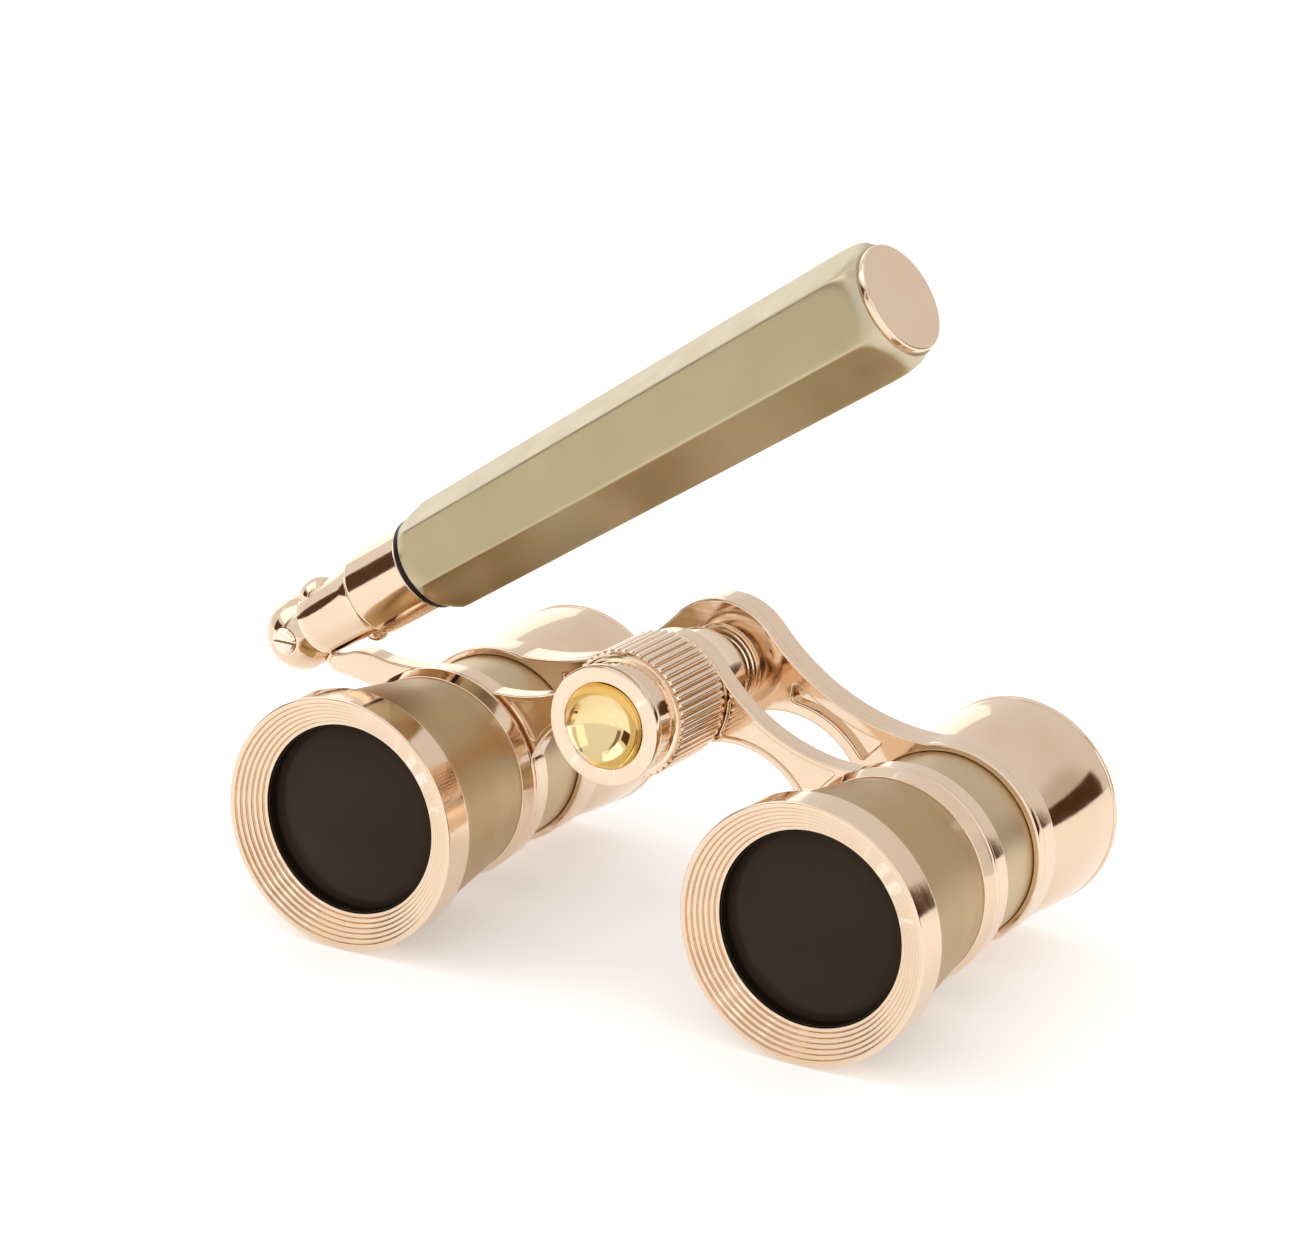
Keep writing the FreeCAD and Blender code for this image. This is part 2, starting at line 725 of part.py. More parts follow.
def rear_hub_cap():
    """The closed cap over the end of the screw."""
    start = size("rear_front") + "rear_depth"
    points = [("hub_cap_bore", start), ("hub_cap_radius", start)]
    points += [("hub_cap_radius", size("hub_cap_rear") - "hub_cap_round", -size("hub_cap_round"))]
    points += [(size("hub_cap_radius") - "hub_cap_round", "hub_cap_rear"), (0, "hub_cap_rear")]
    points += [(0, size("hub_cap_rear") - "hub_cap_wall")]
    points += [("hub_cap_bore", size("hub_cap_rear") - "hub_cap_wall")]
    cap = keep(turned("rear_hub_cap", points), "rear_hub_cap")
    place_on_axis(cap, 0, "hub_height")


# ---- handle ----------------------------------------------------------------------------------

def ball(name, radius, down, along):
    """A sphere on the middle plane of the handle, placed by its way down and along it."""
    sphere = doc.addObject("Part::Sphere", name)
    bind(sphere, "Radius", radius)
    mover = doc.addObject("Part::Compound", name + "_place")
    mover.Links = [sphere]
    bind(sphere, "Placement.Base.x", down)
    bind(sphere, "Placement.Base.z", along)
    place_on_handle(mover)
    return mover


def fork_slot(name, side, reach):
    """Half of the fork's slot, on the upper or the lower side of the handle, up to a reach along it."""
    half = size("ball_radius") * 2
    slot = doc.addObject("Part::Box", name)
    bind(slot, "Length", half)
    bind(slot, "Width", "slot_width")
    bind(slot, "Height", half + reach)
    bind(slot, "Placement.Base.x", half * (side - 1) / 2)
    bind(slot, "Placement.Base.y", -size("slot_width") / 2)
    bind(slot, "Placement.Base.z", -half)
    mover = doc.addObject("Part::Compound", name + "_place")
    mover.Links = [slot]
    place_on_handle(mover)
    return mover


def handle_fork():
    """The slotted ball on the arm's tongue, its widening neck and the polished ferrule. The small
    dome above the ball stops the fold, and the small lug under the ferrule stops the opening."""
    points = [(0, "neck_start"), ("neck_radius", "neck_start"), ("neck_wide_radius", "neck_end")]
    points += [("neck_groove_radius", "neck_end"), ("neck_groove_radius", "neck_groove_end")]
    points += [(size("ferrule_radius") - "ferrule_edge", "neck_groove_end")]
    points += [("ferrule_radius", size("neck_groove_end") + "ferrule_edge")]
    points += [("ferrule_radius", size("ferrule_end") - "ferrule_edge")]
    points += [(size("ferrule_radius") - "ferrule_edge", "ferrule_end")]
    points += [("inner_tube_radius", "ferrule_end"), ("inner_tube_radius", "inner_tube_start")]
    points += [(0, "inner_tube_start")]
    neck = turned("fork_neck", points)
    place_on_handle(neck)
    pieces = [neck, ball("fork_ball", "ball_radius", 0, 0)]
    pieces.append(ball("fork_dome", "dome_radius", -size("dome_up"), "dome_along"))
    pieces.append(ball("fork_lug", "lug_radius", "lug_down", "lug_along"))
    slots = [fork_slot("fork_slot_above", -1, "slot_reach_above")]
    slots.append(fork_slot("fork_slot_below", 1, "slot_reach"))
    x = -size("pivot_offset")
    front = PLATE_MIDDLE - "ball_radius" - "screw_head_proud"
    through = (size("ball_radius") + "screw_head_proud") * 2
    hole = rod("fork_hole", x, front, "pivot_height", "pivot_radius", through)
    head = rod("fork_head_seat", x, front, "pivot_height", "screw_head_radius",
               size("screw_head_depth") + "screw_head_proud")
    keep(without("handle_fork", fused("fork_blank", pieces), slots + [hole, head]), "handle_fork")


def pivot_screw():
    """The slotted screw through the fork and the arm's eye."""
    head = size("screw_head_depth") + "screw_head_proud"
    length = size("ball_radius") * 2
    edge = size("screw_head_radius") - "ring_edge"
    points = [(0, 0), (edge, 0), ("screw_head_radius", "ring_edge"), ("screw_head_radius", head)]
    points += [("pivot_radius", head), ("pivot_radius", length), (0, length)]
    blank = turned("pivot_screw_blank", points)
    x = -size("pivot_offset")
    front = PLATE_MIDDLE - "ball_radius" - "screw_head_proud"
    place(blank, x, front, "pivot_height", ALONG_Y)
    width = size("screw_head_radius") * 2
    slot_floor = size("pivot_height") - size("screw_slot") / 2
    slot = block("pivot_screw_slot", x - "screw_head_radius", front, slot_floor, width, "screw_slot",
                 "screw_slot")
    keep(without("pivot_screw", blank, [slot]), "pivot_screw")


def handle_tube():
    """The round tube fixed in the ferrule, with a groove for the guide bush near its free end."""
    points = [("inner_tube_bore", "inner_tube_start"), ("inner_tube_radius", "inner_tube_start")]
    points += [("inner_tube_radius", "groove_start"), ("groove_radius", "groove_start")]
    points += [("groove_radius", "groove_end"), ("inner_tube_radius", "groove_end")]
    points += [("inner_tube_radius", "inner_tube_end"), ("inner_tube_bore", "inner_tube_end")]
    tube = keep(turned("handle_tube", points), "handle_tube")
    place_on_handle(tube)


def handle_bush():
    """The split bush in the tube's groove: it turns on the tube and the sleeve slides over it."""
    start = size("groove_start") + "end_play"
    end = size("groove_end") - "end_play"
    bore = size("groove_radius") + "running_gap"
    points = [(bore, start), ("bush_radius", start), ("bush_radius", end), (bore, end)]
    bush = keep(turned("handle_bush", points), "handle_bush")
    place_on_handle(bush)


def mouth_ring():
    """The dark ring in the mouth of the sleeve, bored to slide on the tube."""
    points = [("mouth_bore", "mouth_start"), ("mouth_lip_radius", "mouth_start")]
    points += [("mouth_lip_radius", "mouth_lip_end"), ("handle_bore", "mouth_lip_end")]
    points += [("handle_bore", "mouth_end"), ("mouth_bore", "mouth_end")]
    ring = keep(turned("handle_mouth_ring", points), "handle_mouth_ring")
    place_on_handle(ring)


def hexagon(name, radius, along):
    """A hexagon across the handle, turned so that one flat looks forward and slightly up."""
    polygon = doc.addObject("Part::RegularPolygon", name)
    polygon.Polygon = 6
    bind(polygon, "Circumradius", radius)
    polygon.Placement = Placement(Vector(0, 0, 0), Rotation(Vector(0, 0, 1), -1))
    bind(polygon, "Placement.Rotation.Angle", -size("hex_turn"))
    bind(polygon, "Placement.Base.z", along)
    return polygon


def handle_sleeve():
    """The six-sided sleeve, widening to its far end and turned round at both ends."""
    prism = doc.addObject("Part::Loft", "sleeve_prism")
    prism.Sections = [hexagon("hexagon_near", "hex_near_radius", "hex_start"),
                      hexagon("hexagon_far", "hex_far_radius", "hex_end")]
    prism.Solid = True
    prism.Ruled = True
    points = [("handle_bore", "hex_start"), ("hex_mouth_radius", "hex_start")]
    points += [("hex_cone_radius", "hex_cone_end"), ("hex_round_radius", "hex_cone_end")]
    points += [("hex_round_radius", "hex_round_start", -size("hex_round_curve"))]
    points += [("hex_end_radius", "hex_end"), ("handle_bore", "hex_end")]
    envelope = turned("sleeve_envelope", points)
    common = doc.addObject("Part::Common", "sleeve_common")
    common.Base = prism
    common.Tool = envelope
    sleeve = doc.addObject("Part::Compound", "handle_sleeve")
    sleeve.Links = [common]
    place_on_handle(sleeve)
    keep(sleeve, "handle_sleeve")


def handle_end_cap():
    """The plain gold plug in the far end."""
    edge = size("end_cap_radius") - "end_cap_edge"
    plug = size("hex_end") - "end_cap_plug"
    points = [(0, plug), ("handle_bore", plug), ("handle_bore", "hex_end"), ("end_cap_radius", "hex_end")]
    points += [("end_cap_radius", size("end_cap_rear") - "end_cap_edge"), (edge, "end_cap_rear")]
    points += [(0, "end_cap_rear")]
    cap = keep(turned("handle_end_cap", points), "handle_end_cap")
    place_on_handle(cap)


for side_name, side in SIDES:
    objective_ring(side_name + "_objective_ring", side)
    barrel(side_name + "_barrel", side)
    objective_crown(side_name + "_objective_crown", side)
    objective_flint(side_name + "_objective_flint", side)
    draw_tube(side_name + "_draw_tube", side)
    eyecup(side_name + "_eyecup", side)
    eye_lens(side_name + "_eye_lens", side)
    eye_lens_ring(side_name + "_eye_lens_ring", side)
front_bridge()
rear_bridge()
focus_dish()
focus_drum()
focus_spindle()
spindle_sleeve()
spindle_nut()
rear_hub_cap()
handle_fork()
pivot_screw()
handle_tube()
handle_bush()
mouth_ring()
handle_sleeve()
handle_end_cap()

doc.recompute()

for thing in doc.Objects:
    if "Invalid" in thing.State or "Error" in thing.State:
        raise RuntimeError("%s did not build" % thing.Label)
for part in subparts:
    if part.Shape.isNull() or not part.Shape.isValid():
        raise RuntimeError("%s has no valid shape" % part.Label)
for part in subparts:
    part.Shape.exportStep("parts/%s.step" % part.Label)
print("wrote", len(subparts), "sub-parts")
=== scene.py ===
import json
import math
import bpy
from mathutils import Matrix, Vector


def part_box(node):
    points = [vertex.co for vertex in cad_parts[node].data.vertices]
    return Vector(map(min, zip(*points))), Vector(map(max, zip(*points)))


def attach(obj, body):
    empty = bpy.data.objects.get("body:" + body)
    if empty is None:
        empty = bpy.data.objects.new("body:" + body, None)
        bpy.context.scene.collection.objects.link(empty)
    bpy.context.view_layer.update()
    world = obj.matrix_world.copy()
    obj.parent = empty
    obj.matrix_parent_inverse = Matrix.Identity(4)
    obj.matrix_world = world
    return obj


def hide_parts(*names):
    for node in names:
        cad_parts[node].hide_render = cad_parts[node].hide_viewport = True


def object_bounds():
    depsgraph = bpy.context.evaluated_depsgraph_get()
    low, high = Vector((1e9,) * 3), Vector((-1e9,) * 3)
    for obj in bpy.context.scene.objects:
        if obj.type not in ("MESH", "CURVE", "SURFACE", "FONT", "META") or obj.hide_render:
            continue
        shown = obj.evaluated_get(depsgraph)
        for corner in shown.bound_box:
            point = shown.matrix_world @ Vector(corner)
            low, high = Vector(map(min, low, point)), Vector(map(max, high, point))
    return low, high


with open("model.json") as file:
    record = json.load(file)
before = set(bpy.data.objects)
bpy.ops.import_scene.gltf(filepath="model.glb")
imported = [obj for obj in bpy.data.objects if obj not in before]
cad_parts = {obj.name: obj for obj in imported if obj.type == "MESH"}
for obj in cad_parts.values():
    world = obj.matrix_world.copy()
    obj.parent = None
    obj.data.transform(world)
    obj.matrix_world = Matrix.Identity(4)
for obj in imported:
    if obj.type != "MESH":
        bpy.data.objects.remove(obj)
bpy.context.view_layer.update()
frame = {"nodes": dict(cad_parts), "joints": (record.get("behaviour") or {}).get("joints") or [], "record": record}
MM = 0.001


# ---- places read from the frame ------------------------------------------------------------------

def middle(node):
    low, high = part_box(node)
    return (low + high) / 2


def joint(name):
    return next(entry for entry in frame["joints"] if entry["name"] == name)


FRONT_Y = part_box("left_objective_ring")[0].y
LEFT_X = middle("left_objective_ring").x
RIGHT_X = middle("right_objective_ring").x
CENTRE_X = (LEFT_X + RIGHT_X) / 2
AXIS_Z = middle("left_objective_ring").z
HUB_Z = middle("focus_drum").z
PIVOT = Vector(joint("handle_fold")["pos_m"])
ALONG_HANDLE = Vector(joint("handle_extend")["axis"]).normalized()
AXIS_HALF = (RIGHT_X - LEFT_X) / 2 / MM
HUB_RISE = (HUB_Z - AXIS_Z) / MM
PIVOT_X = (PIVOT.x - CENTRE_X) / MM
PIVOT_RISE = (PIVOT.z - AXIS_Z) / MM
PIVOT_Y = (PIVOT.y - FRONT_Y) / MM


def frame_matrix(across, up, along, origin):
    """The matrix of three directions and an origin."""
    matrix = Matrix((across, up, along)).transposed().to_4x4()
    matrix.translation = origin
    return matrix


def optical(x):
    """Own +Z runs from the objectives to the eyes, from the point level with the rings' front."""
    z = HUB_Z if abs(x - CENTRE_X) < MM else AXIS_Z
    return frame_matrix(Vector((1, 0, 0)), Vector((0, 0, -1)), Vector((0, 1, 0)), Vector((x, FRONT_Y, z)))


DOWN_FROM_HANDLE = Vector((0, 1, 0)).cross(ALONG_HANDLE)
HANDLE = frame_matrix(DOWN_FROM_HANDLE, Vector((0, 1, 0)), ALONG_HANDLE, PIVOT)
PIVOT_AXIS = frame_matrix(Vector((1, 0, 0)), Vector((0, 0, -1)), Vector((0, 1, 0)), PIVOT)
PLATES = frame_matrix(Vector((1, 0, 0)), Vector((0, 0, 1)), Vector((0, -1, 0)),
                      Vector((CENTRE_X, FRONT_Y, AXIS_Z)))


# ---- camera --------------------------------------------------------------------------------------

VIEW_AZIMUTH = math.radians(30.0)
VIEW_ELEVATION = math.radians(17.62)
VIEW_ROLL = math.radians(1.864)
VIEW_DISTANCE = 0.5663
VIEW_TARGET = Vector((CENTRE_X + 0.01099, FRONT_Y, AXIS_Z + 0.03361))
FOCAL_LENGTH_MM = 134.25


def make_camera():
    """The camera at the object's three-quarter front view from slightly above."""
    back = Vector((math.sin(VIEW_AZIMUTH) * math.cos(VIEW_ELEVATION),
                   -math.cos(VIEW_AZIMUTH) * math.cos(VIEW_ELEVATION), math.sin(VIEW_ELEVATION)))
    level = Vector((math.cos(VIEW_AZIMUTH), math.sin(VIEW_AZIMUTH), 0))
    upright = back.cross(level)
    right = level * math.cos(VIEW_ROLL) + upright * math.sin(VIEW_ROLL)
    up = upright * math.cos(VIEW_ROLL) - level * math.sin(VIEW_ROLL)
    data = bpy.data.cameras.new("view_camera")
    data.lens = FOCAL_LENGTH_MM
    data.sensor_width = 36
    data.clip_start = 0.01
    camera = bpy.data.objects.new("view_camera", data)
    camera.matrix_world = frame_matrix(right, up, back, VIEW_TARGET + back * VIEW_DISTANCE)
    bpy.context.collection.objects.link(camera)
    bpy.context.scene.camera = camera


# ---- materials -----------------------------------------------------------------------------------

class Nodes:
    """A material's node tree with short calls for adding and linking nodes."""

    def __init__(self, name):
        self.material = bpy.data.materials.new(name)
        self.material.use_nodes = True
        self.tree = self.material.node_tree
        self.shader = self.tree.nodes["Principled BSDF"]

    def add(self, kind, **settings):
        node = self.tree.nodes.new(kind)
        for key, value in settings.items():
            setattr(node, key, value)
        return node

    def link(self, source, target):
        self.tree.links.new(source, target)

    def value(self, socket, number):
        self.shader.inputs[socket].default_value = number

    def noise(self, vector, scale, detail=3.0, rough=0.5):
        node = self.add("ShaderNodeTexNoise")
        node.inputs["Scale"].default_value = scale
        node.inputs["Detail"].default_value = detail
        node.inputs["Roughness"].default_value = rough
        self.link(vector, node.inputs["Vector"])
        return node.outputs["Fac"]

    def spread(self, source, low, high, start=0.3, end=0.7):
        """The source's range from start to end, spread over low to high."""
        node = self.add("ShaderNodeMapRange")
        node.inputs["From Min"].default_value = start
        node.inputs["From Max"].default_value = end
        node.inputs["To Min"].default_value = low
        node.inputs["To Max"].default_value = high
        self.link(source, node.inputs["Value"])
        return node.outputs["Result"]

    def maths(self, operation, first, second):
        """One sum. Each side is a number or another node's output."""
        node = self.add("ShaderNodeMath", operation=operation)
        for socket, value in zip(node.inputs, (first, second)):
            if hasattr(value, "is_linked"):
                self.link(value, socket)
            else:
                socket.default_value = value
        return node.outputs["Value"]

    def mix(self, factor, first, second):
        """A colour between two, each given as numbers or another node's output."""
        node = self.add("ShaderNodeMix", data_type="RGBA")
        self.link(factor, node.inputs["Factor"])
        for socket, value in ((node.inputs[6], first), (node.inputs[7], second)):
            if hasattr(value, "is_linked"):
                self.link(value, socket)
            else:
                socket.default_value = (*value, 1)
        return node.outputs[2]

    def bump(self, height, strength, distance, normal=None):
        node = self.add("ShaderNodeBump")
        node.inputs["Strength"].default_value = strength
        node.inputs["Distance"].default_value = distance
        self.link(height, node.inputs["Height"])
        if normal is not None:
            self.link(normal, node.inputs["Normal"])
        return node.outputs["Normal"]

    def place(self):
        return self.add("ShaderNodeTexCoord").outputs["Object"]

    def around(self):
        """Distance from the piece's own axis and distance along it, as a vector: marks that depend on
        it alone run round the piece like a lathe's."""
        split = self.add("ShaderNodeSeparateXYZ")
        self.link(self.place(), split.inputs["Vector"])
        x, y, z = split.outputs
        square = self.maths("ADD", self.maths("MULTIPLY", x, x), self.maths("MULTIPLY", y, y))
        radius = self.maths("SQRT", square, 0.5)
        join = self.add("ShaderNodeCombineXYZ")
        self.link(radius, join.inputs["X"])
        self.link(z, join.inputs["Y"])
        return join.outputs["Vector"]

    def worn_edges(self):
        """1 on sharp outer edges and 0 elsewhere."""
        geometry = self.add("ShaderNodeNewGeometry")
        return self.spread(geometry.outputs["Pointiness"], 0.0, 1.0, 0.51, 0.58)


def polished_metal(name, colour, edge_colour, tarnish, rough_low, rough_high, turning=0.02):
    """Plated, polished metal: faint lathe marks, fine wiping marks, a slight change of hue where the
    plating is thinner, and brighter edges."""
    m = Nodes(name)
    place = m.place()
    cloud = m.noise(place, 110, 4)
    base = m.mix(m.spread(cloud, 0, 1, 0.35, 0.75), colour, tarnish)
    base = m.mix(m.worn_edges(), base, edge_colour)
    m.link(base, m.shader.inputs["Base Color"])
    m.value("Metallic", 1.0)
    lines = m.noise(m.around(), 2600, 2)
    smear = m.noise(place, 420, 5, 0.6)
    rough = m.maths("ADD", m.spread(smear, rough_low, rough_high), m.spread(lines, 0.0, 0.02))
    m.link(rough, m.shader.inputs["Roughness"])
    grain = m.bump(smear, 0.05, 0.0002)
    m.link(m.bump(lines, turning, 0.00006, grain), m.shader.inputs["Normal"])
    return m.material


def satin_metal(name, colour, pale, edge_colour, rough_low=0.30, rough_high=0.38):
    """Blasted and plated metal: an even fine grain, cloudy sheen and edges rubbed brighter."""
    m = Nodes(name)
    place = m.place()
    cloud = m.noise(place, 70, 4)
    base = m.mix(m.spread(cloud, 0, 1, 0.3, 0.75), colour, pale)
    base = m.mix(m.worn_edges(), base, edge_colour)
    m.link(base, m.shader.inputs["Base Color"])
    m.value("Metallic", 1.0)
    grit = m.noise(place, 5200, 2)
    m.link(m.spread(m.noise(place, 260, 4), rough_low, rough_high), m.shader.inputs["Roughness"])
    m.link(m.bump(grit, 0.03, 0.00004), m.shader.inputs["Normal"])
    return m.material


def dark_lens(name, colour, rim_colour, index, tint):
    """A coated lens that looks nearly black, with a brown cast, faint dust and wiping marks."""
    m = Nodes(name)
    place = m.place()
    cloud = m.noise(place, 60, 3)
    m.link(m.mix(m.spread(cloud, 0, 1), colour, rim_colour), m.shader.inputs["Base Color"])
    m.link(m.spread(m.noise(place, 900, 4), 0.12, 0.2), m.shader.inputs["Roughness"])
    m.value("IOR", index)
    m.value("Specular Tint", (*tint, 1))
    m.link(m.bump(cloud, 0.01, 0.0001), m.shader.inputs["Normal"])
    return m.material


def black_ring_material():
    """Satin black plating with a fine grain and browner edges."""
    m = Nodes("satin_black")
    place = m.place()
    base = m.mix(m.worn_edges(), (0.010, 0.006, 0.004), (0.04, 0.026, 0.016))
    m.link(base, m.shader.inputs["Base Color"])
    m.link(m.spread(m.noise(place, 700, 4), 0.28, 0.42), m.shader.inputs["Roughness"])
    m.value("IOR", 1.25)
    m.link(m.bump(m.noise(place, 5000, 2), 0.1, 0.00004), m.shader.inputs["Normal"])
    return m.material


GOLD = polished_metal("rose_gold_polish", (0.82, 0.635, 0.475), (0.93, 0.78, 0.63), (0.79, 0.59, 0.42),
                      0.05, 0.11)
DISH_GOLD = polished_metal("yellow_gold_polish", (0.86, 0.68, 0.36), (0.95, 0.82, 0.55),
                           (0.82, 0.62, 0.30), 0.03, 0.07, 0.01)
STEEL = polished_metal("turned_steel", (0.58, 0.55, 0.50), (0.75, 0.72, 0.68), (0.50, 0.46, 0.40),
                       0.16, 0.26, 0.12)
BRASS = polished_metal("turned_brass", (0.70, 0.50, 0.26), (0.85, 0.68, 0.42), (0.60, 0.40, 0.20),
                       0.16, 0.26, 0.12)
CHAMPAGNE = satin_metal("champagne_satin", (0.47, 0.39, 0.235), (0.51, 0.425, 0.265), (0.70, 0.62, 0.48))
BARREL_SATIN = satin_metal("champagne_barrels", (0.45, 0.295, 0.135), (0.48, 0.33, 0.16),
                           (0.60, 0.47, 0.30), 0.34, 0.40)
OBJECTIVE = dark_lens("objective_coating", (0.030, 0.021, 0.014), (0.036, 0.025, 0.017), 1.18,
                      (1.0, 0.82, 0.62))
EYE_GLASS = dark_lens("eye_lens_coating", (0.02, 0.018, 0.018), (0.03, 0.026, 0.028), 1.45,
                      (1.0, 0.95, 0.92))
BLACK = black_ring_material()
SLOT_MATERIALS = {"polished_gold": GOLD, "fluted_gold": GOLD, "champagne_satin": CHAMPAGNE,
                  "objective_glass": OBJECTIVE, "eye_glass": EYE_GLASS, "plain_steel": STEEL,
                  "plain_brass": BRASS, "black_ring": BLACK}


def finish_cad_nodes():
    """Every CAD node that stays gets the material of its slot."""
    for entry in frame["record"]["subparts"]:
        data = frame["nodes"][entry["node"]].data
        data.materials.clear()
        data.materials.append(SLOT_MATERIALS[entry["material_slot"]])


# ---- mesh tools ----------------------------------------------------------------------------------

ROUND = 192


def rounded(points, steps=5):
    """A closed outline whose corners (across, up, radius) are rounded off."""
    result = []
    count = len(points)
    for index, point in enumerate(points):
        corner = Vector(point[:2])
        radius = point[2] if len(point) > 2 else 0
        if radius == 0:
            result.append(corner)
            continue
        before = Vector(points[index - 1][:2]) - corner
        after = Vector(points[(index + 1) % count][:2]) - corner
        angle = before.angle(after)
        reach = min(radius / math.tan(angle / 2), before.length * 0.48, after.length * 0.48)
        start = corner + before.normalized() * reach
        end = corner + after.normalized() * reach
        for step in range(steps + 1):
            t = step / steps
            result.append(start * (1 - t) ** 2 + corner * (2 * t * (1 - t)) + end * t ** 2)
    return result


def bow(start, end, bulge, steps=12):
    """Points of a shallow curve from start to end, standing off by bulge in the middle."""
    start = Vector(start)
    end = Vector(end)
    along = end - start
    side = Vector((-along.y, along.x)).normalized() * bulge
    points = []
    for step in range(steps + 1):
        t = step / steps
        points.append(start + along * t + side * (4 * t * (1 - t)))
    return points


def add_piece(name, vertices, faces, matrix, body, material, smooth_angle=math.radians(38)):
    """A mesh piece from points in millimetres in its own frame, riding on a CAD body."""
    mesh = bpy.data.meshes.new(name)
    mesh.from_pydata([Vector(v) * MM for v in vertices], [], faces)
    mesh.validate()
    mesh.polygons.foreach_set("use_smooth", [True] * len(mesh.polygons))
    mesh.materials.append(material)
    piece = bpy.data.objects.new(name, mesh)
    bpy.context.collection.objects.link(piece)
    piece.matrix_world = matrix
    mesh.set_sharp_from_angle(angle=smooth_angle)
    weighted = piece.modifiers.new("weighted_normals", "WEIGHTED_NORMAL")
    weighted.keep_sharp = True
    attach(piece, body)
    return piece


def lathe(name, outline, matrix, body, material, replaces=(), segments=ROUND, radius_at=None):
    """A closed outline of (radius, along) turned round the own Z axis. radius_at(radius, along,
    angle) may change the radius round the piece, for flutes or flats."""
    ring_points = [Vector(p) for p in outline]
    vertices = []
    rings = []
    for point in ring_points:
        if point.x < 1e-6:
            rings.append([len(vertices)])
            vertices.append((0, 0, point.y))
            continue
        ring = []
        for step in range(segments):
            angle = 2 * math.pi * step / segments
            radius = point.x if radius_at is None else radius_at(point.x, point.y, angle)
            ring.append(len(vertices))
            vertices.append((radius * math.cos(angle), radius * math.sin(angle), point.y))
        rings.append(ring)
    faces = []
    for index, ring in enumerate(rings):
        other = rings[(index + 1) % len(rings)]
        if len(ring) == 1 and len(other) == 1:
            continue
        for step in range(segments):
            after = (step + 1) % segments
            if len(ring) == 1:
                faces.append((ring[0], other[after], other[step]))
            elif len(other) == 1:
                faces.append((ring[step], ring[after], other[0]))
            else:
                faces.append((ring[step], ring[after], other[after], other[step]))
    piece = add_piece(name, vertices, faces, matrix, body, material)
    for node in replaces:
        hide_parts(node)
    return piece


def plate(name, loops, front, rear, bevel, body, material, replaces=()):
    """A flat plate across the optical axes with rounded edges. The first loop is its outline, and
    the others are holes."""
    curve = bpy.data.curves.new(name, "CURVE")
    curve.dimensions = "2D"
    curve.fill_mode = "BOTH"
    for loop in loops:
        spline = curve.splines.new("POLY")
        spline.points.add(len(loop) - 1)
        for point, (x, z) in zip(spline.points, loop):
            point.co = (x * MM, z * MM, 0, 1)
        spline.use_cyclic_u = True
    curve.extrude = ((rear - front) / 2 - bevel) * MM
    curve.bevel_depth = bevel * MM
    curve.bevel_resolution = 3
    curve.offset = -bevel * MM
    holder = bpy.data.objects.new(name + "_curve", curve)
    bpy.context.collection.objects.link(holder)
    mesh = bpy.data.meshes.new_from_object(holder)
    bpy.data.objects.remove(holder)
    vertices = [v.co / MM for v in mesh.vertices]
    faces = [tuple(p.vertices) for p in mesh.polygons]
    middle_y = (front + rear) / 2
    matrix = PLATES @ Matrix.Translation((0, 0, -middle_y * MM))
    piece = add_piece(name, vertices, faces, matrix, body, material, math.radians(30))
    for node in replaces:
        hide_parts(node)
    return piece


def sag(curve, radius):
    """How far a sphere with that radius of curvature falls away at a distance from its axis."""
    return curve - math.sqrt(curve * curve - radius * radius)


def spherical(rim, curve, crown, falling=1, steps=24):
    """Points of a spherical face from the axis to the rim. falling is 1 where the rim lies further
    along than the crown, and -1 where it lies nearer."""
    points = []
    for step in range(steps + 1):
        radius = rim * step / steps
        points.append((radius, crown + falling * sag(curve, radius)))
    return points


def rounded_end(radius, start, across, along, steps):
    """A quarter of an ellipse, from the side of a rod at start to its end face."""
    points = []
    for step in range(1, steps + 1):
        angle = math.pi / 2 * step / steps
        points.append((radius - across + across * math.cos(angle), start + along * math.sin(angle)))
    return points


make_camera()

# ---- barrels -------------------------------------------------------------------------------------

# Radii and places along the optical axes, in millimetres behind the rings' front.
RING = 16.3
RING_DEPTH = 4.8
OPENING = 12.05
STEP_COUNT = 6
STEPS_DEPTH = 2.35
SEAT = 13.0
SPIGOT_FRONT = 2.6
LENS_FRONT = 4.2
LENS_CURVE = 45.0
CONE_END = 22.0
TAIL = 12.65
TAIL_END = 27.5
RING_BORE = 12.72
TUBE_BORE = 11.55
TUBE_FRONT = 14.1
CUP_START = 41.4
CUP_END = 57.7
EYE_LENS_FRONT = 44.6
EYE_LENS_REAR = 47.0


def objective_ring(side, x):
    """The gold ring, its front turned in fine steps down to the opening."""
    outer = RING - 0.75
    spigot = 14.65
    lip = LENS_FRONT - 0.4
    tread = (outer - OPENING - 0.15) / STEP_COUNT
    fall = STEPS_DEPTH / STEP_COUNT
    groove = 0.1
    points = [(outer, 0.02, 0.1), (RING, 0, 0.3), (RING, RING_DEPTH, 0.35), (spigot, RING_DEPTH, 0.05),
              (spigot, SPIGOT_FRONT, 0.1), (SEAT, SPIGOT_FRONT, 0.1), (SEAT, lip, 0.1), (OPENING, lip, 0.1)]
    for step in range(STEP_COUNT, 0, -1):
        edge = outer - tread * step
        points.append((edge, fall * step, 0.1))
        points.append((edge + tread * 0.74, fall * (step - 0.1), 0.05))
        points.append((edge + tread * 0.88, fall * (step - 0.1) + groove, 0.03))
    lathe(side + "_ring_face", rounded(points, 4), optical(x), "front_frame", GOLD,
          [side + "_objective_ring"])


